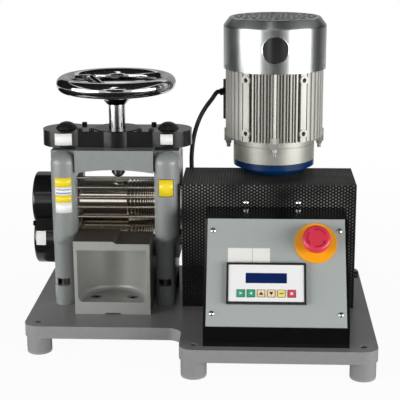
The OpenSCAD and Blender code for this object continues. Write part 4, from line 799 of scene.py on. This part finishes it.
rim_r = PLATE_R - RIM_W
plate_radii = [PLATE_HUB] + [PLATE_R * k / PLATE_STEPS for k in range(1, PLATE_STEPS)] + [rim_r]
plate_rings = [(reach, PLATE_RISE) for reach in plate_radii]
cowl_disc("cowl_plate", plate_rings, console_enamel)
rim_rings = [(rim_r, PLATE_RISE), (rim_r, RIM_IN), (PLATE_R - RIM_W / 2, RIM_TOP), (PLATE_R, RIM_OUT),
             (PLATE_R, -RIM_SINK)]
cowl_disc("cowl_plate_rim", rim_rings, zinc_steel)
print("plate", 2 * PLATE_R / MM, "mm across")

# %% [markdown]
# ## Motor ribs
# The casing is a casting with close ribs in front and shallow flutes round the sides. The solids
# carry every second rib. A band between them brings the rest: its radius at each angle is a rib, a
# groove or a flute. Beside the pads it goes down to the solid's core, so their bosses stay free.

# %% Ribs and flutes
CORE_R, GROOVE_R, RIB_R, FLUTE_R = 65.4 * MM, 71 * MM, 74.4 * MM, 72.6 * MM
BAND_LEN, BAND_GAP = 104.6 * MM, 0.2 * MM
# Angles round the motor in degrees, counted from its front
FIN_STEP, RIB_HALF, FRONT_HALF, BAND_STEP, PAD_EDGE = 7.5, 0.75, 40.0, 0.25, 29
MIDDLE_HALF, MIDDLE_R = 1.9, 76.8 * MM
# Where the painted shade thins out: from the front to the sides, and from the grooves outwards
SHADE_FRONT, SHADE_SIDE, FRONT_UNSHADED, SHADE_EDGE = -75 * MM, -50 * MM, 0.4, 1.5 * MM


def casing_radius(turn):
    """The band's radius at that angle."""
    if abs(turn) > FRONT_HALF:
        return FLUTE_R
    if abs(turn) < MIDDLE_HALF:
        return MIDDLE_R - (turn / MIDDLE_HALF) ** 2 * (MIDDLE_R - RIB_R)
    if abs(turn) > PAD_EDGE:
        return CORE_R
    beside = abs((turn + FIN_STEP / 2) % FIN_STEP - FIN_STEP / 2)
    return RIB_R if beside < RIB_HALF else GROOVE_R


# The same casting with painted shade: darker and browner in the grooves and over the front than at the
# sides
shaded_cast = surface("die-cast aluminium with painted groove shade", ("#b8b7b1", "#c8c7c1"),
                     grain=2.2, relief=0.05, Metallic=0.3, Roughness=0.45)
off_axis = vector_calc(shaded_cast, "SUBTRACT", place_of(shaded_cast), (motor_axis.x, motor_axis.y, 0))
sideways, forward = split(shaded_cast, off_axis)[:2]
front = ramp(shaded_cast, forward, SHADE_FRONT, SHADE_SIDE, FRONT_UNSHADED)
axis_r = vector_calc(shaded_cast, "LENGTH", vector_calc(shaded_cast, "MULTIPLY", off_axis, (1, 1, 0)))
proud = ramp(shaded_cast, axis_r, GROOVE_R, GROOVE_R + SHADE_EDGE)
middle_rib = calc(shaded_cast, "COMPARE", sideways, 0.0, MIDDLE_R * math.radians(MIDDLE_HALF))
unshaded = calc(shaded_cast, "MAXIMUM", calc(shaded_cast, "MULTIPLY", proud, front), middle_rib)
# Painted shade in the grooves and over the front; the proud ribs, the sides and the middle rib keep
# the light tone
feed(shaded_cast, "Base Color", mix_colours(shaded_cast, unshaded, "#7f7b73", tone_of(shaded_cast)))
nodes["motor_body"].data.materials[0] = shaded_cast

band_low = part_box("motor_body")[0].z + BAND_GAP
build = bmesh.new()
columns = []
for k in range(int(360 / BAND_STEP)):
    turn = -180 + k * BAND_STEP
    spot = wrapped(motor_axis, casing_radius(turn), math.radians(turn), 0, 0)
    columns.append([build.verts.new((spot[0], spot[1], z)) for z in (band_low, band_low + BAND_LEN)])
strip(build, columns + columns[:1])
build.faces.new([column[1] for column in columns])
build.faces.new([column[0] for column in columns][::-1])
bmesh.ops.recalc_face_normals(build, faces=build.faces)
new_piece("motor_ribs", build, shaded_cast, "frame", smooth=False)
print("rib band", len(columns), "columns")

# %% [markdown]
# Below its flange the gearbox has a broad neck that closes the view between flange and guard. A
# lathe form is right for it: a profile of radius and height, turned round the motor's axis.

# %% Gearbox neck
NECK_R, NECK_ROOT, NECK_FILLET, NECK_BEND = 50 * MM, 34 * MM, 3 * MM, 1.2 * MM
FLANGE_T, NECK_GAP, NECK_SECTORS = 9.5 * MM, 0.4 * MM, 96
neck_low, neck_high = guard_high.z + NECK_GAP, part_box("gearbox_housing")[1].z - FLANGE_T
profile = rounded([(NECK_ROOT, neck_low), (NECK_R - NECK_FILLET, neck_low),
                   (NECK_R, neck_high - NECK_FILLET), (NECK_R + NECK_FILLET, neck_high),
                   (NECK_ROOT, neck_high)], NECK_BEND)
build = bmesh.new()
rows = [motor_ring(build, point.x, point.y, NECK_SECTORS) for point in profile]
skin(build, rows + rows[:1])
new_piece("gearbox_neck", build, blue_enamel, "frame")
print("neck", round((neck_high - neck_low) / MM, 1), "mm high")

# %% [markdown]
# ## Chock springs
# Four coil springs lift the upper bearing blocks when the screws back off. Each is a wire wound on
# a helix.

# %% Springs
SPRING_R, WIRE_R, SPRING_TURNS, STEPS_A_TURN, WIRE_STEPS = 4.2 * MM, 0.8 * MM, 5, 28, 3
spring_low, spring_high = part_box("chock_springs")
spring_rows = [spring_low.y + SPRING_R + WIRE_R, spring_high.y - SPRING_R - WIRE_R]
spring_columns = [spring_low.x + SPRING_R + WIRE_R, spring_high.x - SPRING_R - WIRE_R]
z0, z1 = spring_low.z + WIRE_R, spring_high.z - WIRE_R
count = SPRING_TURNS * STEPS_A_TURN
winding = [2 * math.pi * k / STEPS_A_TURN for k in range(count + 1)]
for column, x in zip(("left", "right"), spring_columns):
    for row, y in zip(("front", "back"), spring_rows):
        helix = [Vector((x + SPRING_R * math.cos(a), y + SPRING_R * math.sin(a),
                         z0 + (z1 - z0) * k / count)) for k, a in enumerate(winding)]
        name = f"{column}_{row}_spring"
        coil = round_curve(name, helix, WIRE_R, WIRE_STEPS)
        bpy.context.view_layer.update()
        posed = coil.evaluated_get(bpy.context.evaluated_depsgraph_get())
        data = bpy.data.meshes.new_from_object(posed)
        bpy.data.objects.remove(coil)
        spring = bpy.data.objects.new(name, data)
        scene.collection.objects.link(spring)
        data.materials.clear()
        data.materials.append(zinc_steel)
        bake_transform(spring)
        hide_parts("chock_springs")
print("springs 4")

# %% [markdown]
# ## Blank labels
# Vinyl labels are stuck on the columns, the top cover, the roll gear cover and the panel. They are
# kept as plain coloured blanks. Each is a thin grid wrapped on what carries it, because a flat card
# would stand off a round column at its edges.

# %% Labels on round faces
LABEL_RISE, FILM_SHARE = 0.15 * MM, 0.9


def label_paint(name, light, dark):
    """Printed vinyl: an even colour under a satin film."""
    return moulded(name, (dark, light), 0.34, grain=4, relief=0.004)


yellow_vinyl = label_paint("yellow vinyl", "#f2d92c", "#e9cf22")
pale_vinyl = label_paint("white vinyl", "#f0f0ec", "#e6e6e2")
blue_vinyl = label_paint("blue printed vinyl", "#4a7ba6", "#41719b")
dark_vinyl = label_paint("dark printed vinyl", "#2a2a26", "#22221f")


def wrapped_label(name, axis, radius, turn, width, low, high, material, steps=12):
    """A label on an upright cylinder, between two heights."""
    build = bmesh.new()
    columns = []
    radius += LABEL_RISE
    for k in range(steps + 1):
        reach = width * (k / steps - 0.5)
        columns.append([build.verts.new(wrapped(axis, radius, turn, reach, z)) for z in (low, high)])
    strip(build, columns)
    label = new_piece(name, build, material, "frame")
    film = label.modifiers.new("film", "SOLIDIFY")
    film.thickness = LABEL_RISE * FILM_SHARE
    film.offset = -1


SCREW_X, COLUMN_R, COVER_R = 78 * MM, 19 * MM, 36 * MM
LEFT_TURN = math.radians(4)
column_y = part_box("left_cheek")[0].y + COLUMN_R
left_x, right_x = mill_x - SCREW_X, mill_x + SCREW_X
# What carries a label: the axis and radius of the round face, and the label's turn from its front
on_left = ((left_x, column_y), COLUMN_R, LEFT_TURN)
on_right = ((right_x, column_y), COLUMN_R, 0)
over_left = ((left_x, column_y), COLUMN_R + LABEL_RISE, LEFT_TURN)
over_right = ((right_x, column_y), COLUMN_R + LABEL_RISE, 0)
cover_left = ((left_x, roll_y), COVER_R, 0)
cover_right = ((right_x, roll_y), COVER_R, 0)
# Each label: its carrier, its width, lower and upper edge in millimetres, and its vinyl
labels = {
    "left_label_yellow": (on_left, 27, 234.6, 248.6, yellow_vinyl),
    "left_label_white": (on_left, 27, 221.4, 234.6, pale_vinyl),
    "left_label_lime": (on_left, 27, 210.6, 221.4, yellow_vinyl),
    "left_label_pale": (on_left, 27, 194.4, 210.6, pale_vinyl),
    "left_label_line_a": (over_left, 24, 229.6, 231, blue_vinyl),
    "left_label_line_b": (over_left, 24, 224.6, 226, blue_vinyl),
    "right_label_edge": (on_right, 24.2, 220.4, 247.4, dark_vinyl),
    "right_label": (over_right, 22.6, 221.2, 246.6, yellow_vinyl),
    "cover_label_left": (cover_left, 26.5, 293.1, 311.1, pale_vinyl),
    "cover_label_right": (cover_right, 19, 295, 310.7, pale_vinyl),
}
for name, (carrier, width, low, high, vinyl) in labels.items():
    wrapped_label(name, *carrier, width * MM, low * MM, high * MM, vinyl)
print("round labels", len(labels))

# %% [markdown]
# The lower label on the roll gear cover is wrapped the other way, round the roll's axis.

# %% Label on the roll gear cover
LABEL_LEFT, LABEL_RIGHT = 4.2 * MM, 19 * MM
LABEL_START, LABEL_SWEEP, LABEL_STEPS = math.radians(-4), math.radians(30), 8
gear_low, gear_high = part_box("gear_cover")
lobe_r = (gear_high.y - gear_low.y) / 2
lobe_z = gear_low.z + lobe_r
build = bmesh.new()
rows = []
for k in range(LABEL_STEPS + 1):
    angle = LABEL_START + LABEL_SWEEP * k / LABEL_STEPS
    y = roll_y - (lobe_r + LABEL_RISE) * math.cos(angle)
    z = lobe_z + (lobe_r + LABEL_RISE) * math.sin(angle)
    rows.append([build.verts.new((gear_low.x + x, y, z)) for x in (LABEL_RIGHT, LABEL_LEFT)])
strip(build, rows)
bmesh.ops.recalc_face_normals(build, faces=build.faces)
new_piece("gear_cover_label", build, pale_vinyl, "frame")
print("gear cover label on a", round(2 * lobe_r / MM, 1), "mm lobe")

# %% [markdown]
# ## Front panel
# What lies on the sloping panel is drawn in the panel's own plane: across, up the slope, and out of
# it. One function turns that into the frame, so the labels and the key marks need no angles of
# their own.

# %% Panel plane
PANEL_RISE, PANEL_RUN, PANEL_FOOT = 130, 93, 29 * MM
SLOPE = math.atan2(PANEL_RISE, PANEL_RUN)
console_low, console_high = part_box("console")
panel_origin = Vector(((console_low.x + console_high.x) / 2, console_low.y, deck + PANEL_FOOT))
up_slope = Vector((0, math.cos(SLOPE), math.sin(SLOPE)))
out_of_panel = Vector((0, -math.sin(SLOPE), math.cos(SLOPE)))


def on_panel(across, up, out):
    """A point of the panel's plane, in millimetres, in the frame."""
    return panel_origin + MM * (Vector((across, 0, 0)) + up * up_slope + out * out_of_panel)


def rectangle(left, low, right, high):
    """The outline of a rectangle."""
    return [(left, low), (right, low), (right, high), (left, high)]


def flat_mark(name, outline, low, high, material, body):
    """A thin printed or stuck shape, from its outline in the panel's plane."""
    build = bmesh.new()
    bottom = [build.verts.new(on_panel(u, v, low)) for u, v in outline]
    top = [build.verts.new(on_panel(u, v, high)) for u, v in outline]
    build.faces.new(top)
    build.faces.new(bottom[::-1])
    for k in range(len(outline)):
        after = (k + 1) % len(outline)
        build.faces.new((bottom[k], bottom[after], top[after], top[k]))
    bmesh.ops.recalc_face_normals(build, faces=build.faces)
    new_piece(name, build, material, body, smooth=False)


# Panel labels, in millimetres up the slope and across it
PANEL_FACE, FILM_T, LABEL_LOW, LABEL_HIGH = 2.5, 0.2, 93.4, 115
for name, left, right in (("panel_label_left", -68.4, -33.8), ("panel_label_right", -33.2, -8.7)):
    outline = rectangle(left, LABEL_LOW, right, LABEL_HIGH)
    flat_mark(name, outline, PANEL_FACE, PANEL_FACE + FILM_T, pale_vinyl, "frame")
print("panel slope", round(math.degrees(SLOPE), 1), "degrees")

# %% [markdown]
# Each key carries a plain printed sign: start, reverse, up, down, less and stop. The signs ride on
# their keys, so they go in with them.

# %% Key signs
KEY_PITCH, KEY_ROW, DISPLAY_X = 14.2, 47, -14
KEY_TOP = PANEL_FACE + 5.7
KEY_HALF, EDGE_W = 5.5, 0.7
PRINT_SINK, SIGN_RISE, EDGE_RISE = 0.1, 0.05, 0.04
green_edge = label_paint("dark green print", "#1f6b4c", "#1a6044")
brown_edge = label_paint("brown print", "#8a6a34", "#7e602e")
red_edge = label_paint("dark red print", "#8a1f38", "#7e1b32")
pale_ink = label_paint("white print", "#dcebe2", "#d2e3d9")
plain_ink = label_paint("black print", "#0e0c0b", "#0a0908")
signs = {
    "key_start": ([(-1.6, -2.1), (2.2, 0), (-1.6, 2.1)], pale_ink, green_edge),
    "key_reverse": ([(1.6, -2.1), (1.6, 2.1), (-2.2, 0)], pale_ink, green_edge),
    "key_up": ([(-3, -2.2), (3, -2.2), (0, 2.8)], plain_ink, brown_edge),
    "key_down": ([(-3, 2.2), (0, -2.8), (3, 2.2)], plain_ink, brown_edge),
    "key_minus": (rectangle(-2.8, -0.9, 2.8, 0.9), brown_edge, brown_edge),
    "key_stop": (rectangle(-1.8, -1.8, 1.8, 1.8), pale_ink, red_edge),
}
inner = KEY_HALF - EDGE_W
edge_bars = [(-KEY_HALF, inner, KEY_HALF, KEY_HALF), (-KEY_HALF, -KEY_HALF, KEY_HALF, -inner),
             (-KEY_HALF, -inner, -inner, inner), (inner, -inner, KEY_HALF, inner)]
for place, (key, (outline, ink, edge_ink)) in enumerate(signs.items()):
    key_x = DISPLAY_X + (place - (len(signs) - 1) / 2) * KEY_PITCH
    marks = [("sign", outline, SIGN_RISE, ink)]
    for side, bar in enumerate(edge_bars):
        marks.append((f"edge_{side}", rectangle(*bar), EDGE_RISE, edge_ink))
    for mark, shape, rise, paint in marks:
        moved = [(key_x + u, KEY_ROW + v) for u, v in shape]
        flat_mark(f"{key}_{mark}", moved, KEY_TOP - PRINT_SINK, KEY_TOP + rise, paint, key)
print("key signs", len(signs))

# %% [markdown]
# The stop button is freed by a twist, and three curved arrows on its face show which way. They are
# printed in a darker red and turn with the head.

# %% Twist arrows
STOP_U, STOP_V, STOP_FACE = 56, 123, PANEL_FACE + 25
ARROWS, ARROW_R, ARROW_HALF, BARB, ARROW_STEPS = 3, 13, 1.1, 2.86, 10
ARROW_START, ARROW_SWEEP, ARROW_TIP = math.radians(20), math.radians(64), math.radians(24)
ARROW_RISE = 0.08
arrow_ink = label_paint("dull red print", "#a82038", "#9c1c33")
for k in range(ARROWS):
    start = ARROW_START + 2 * math.pi * k / ARROWS
    bends = [start + ARROW_SWEEP * j / ARROW_STEPS for j in range(ARROW_STEPS + 1)]
    rim = [(ARROW_R + ARROW_HALF, a) for a in bends]
    rim += [(ARROW_R + BARB, bends[-1]), (ARROW_R, bends[-1] + ARROW_TIP), (ARROW_R - BARB, bends[-1])]
    rim += [(ARROW_R - ARROW_HALF, a) for a in reversed(bends)]
    outline = [(STOP_U + r * math.cos(a), STOP_V + r * math.sin(a)) for r, a in rim]
    flat_mark(f"twist_arrow_{k}", outline, STOP_FACE - PRINT_SINK, STOP_FACE + ARROW_RISE, arrow_ink,
              "stop_head")
print("twist arrows", ARROWS)
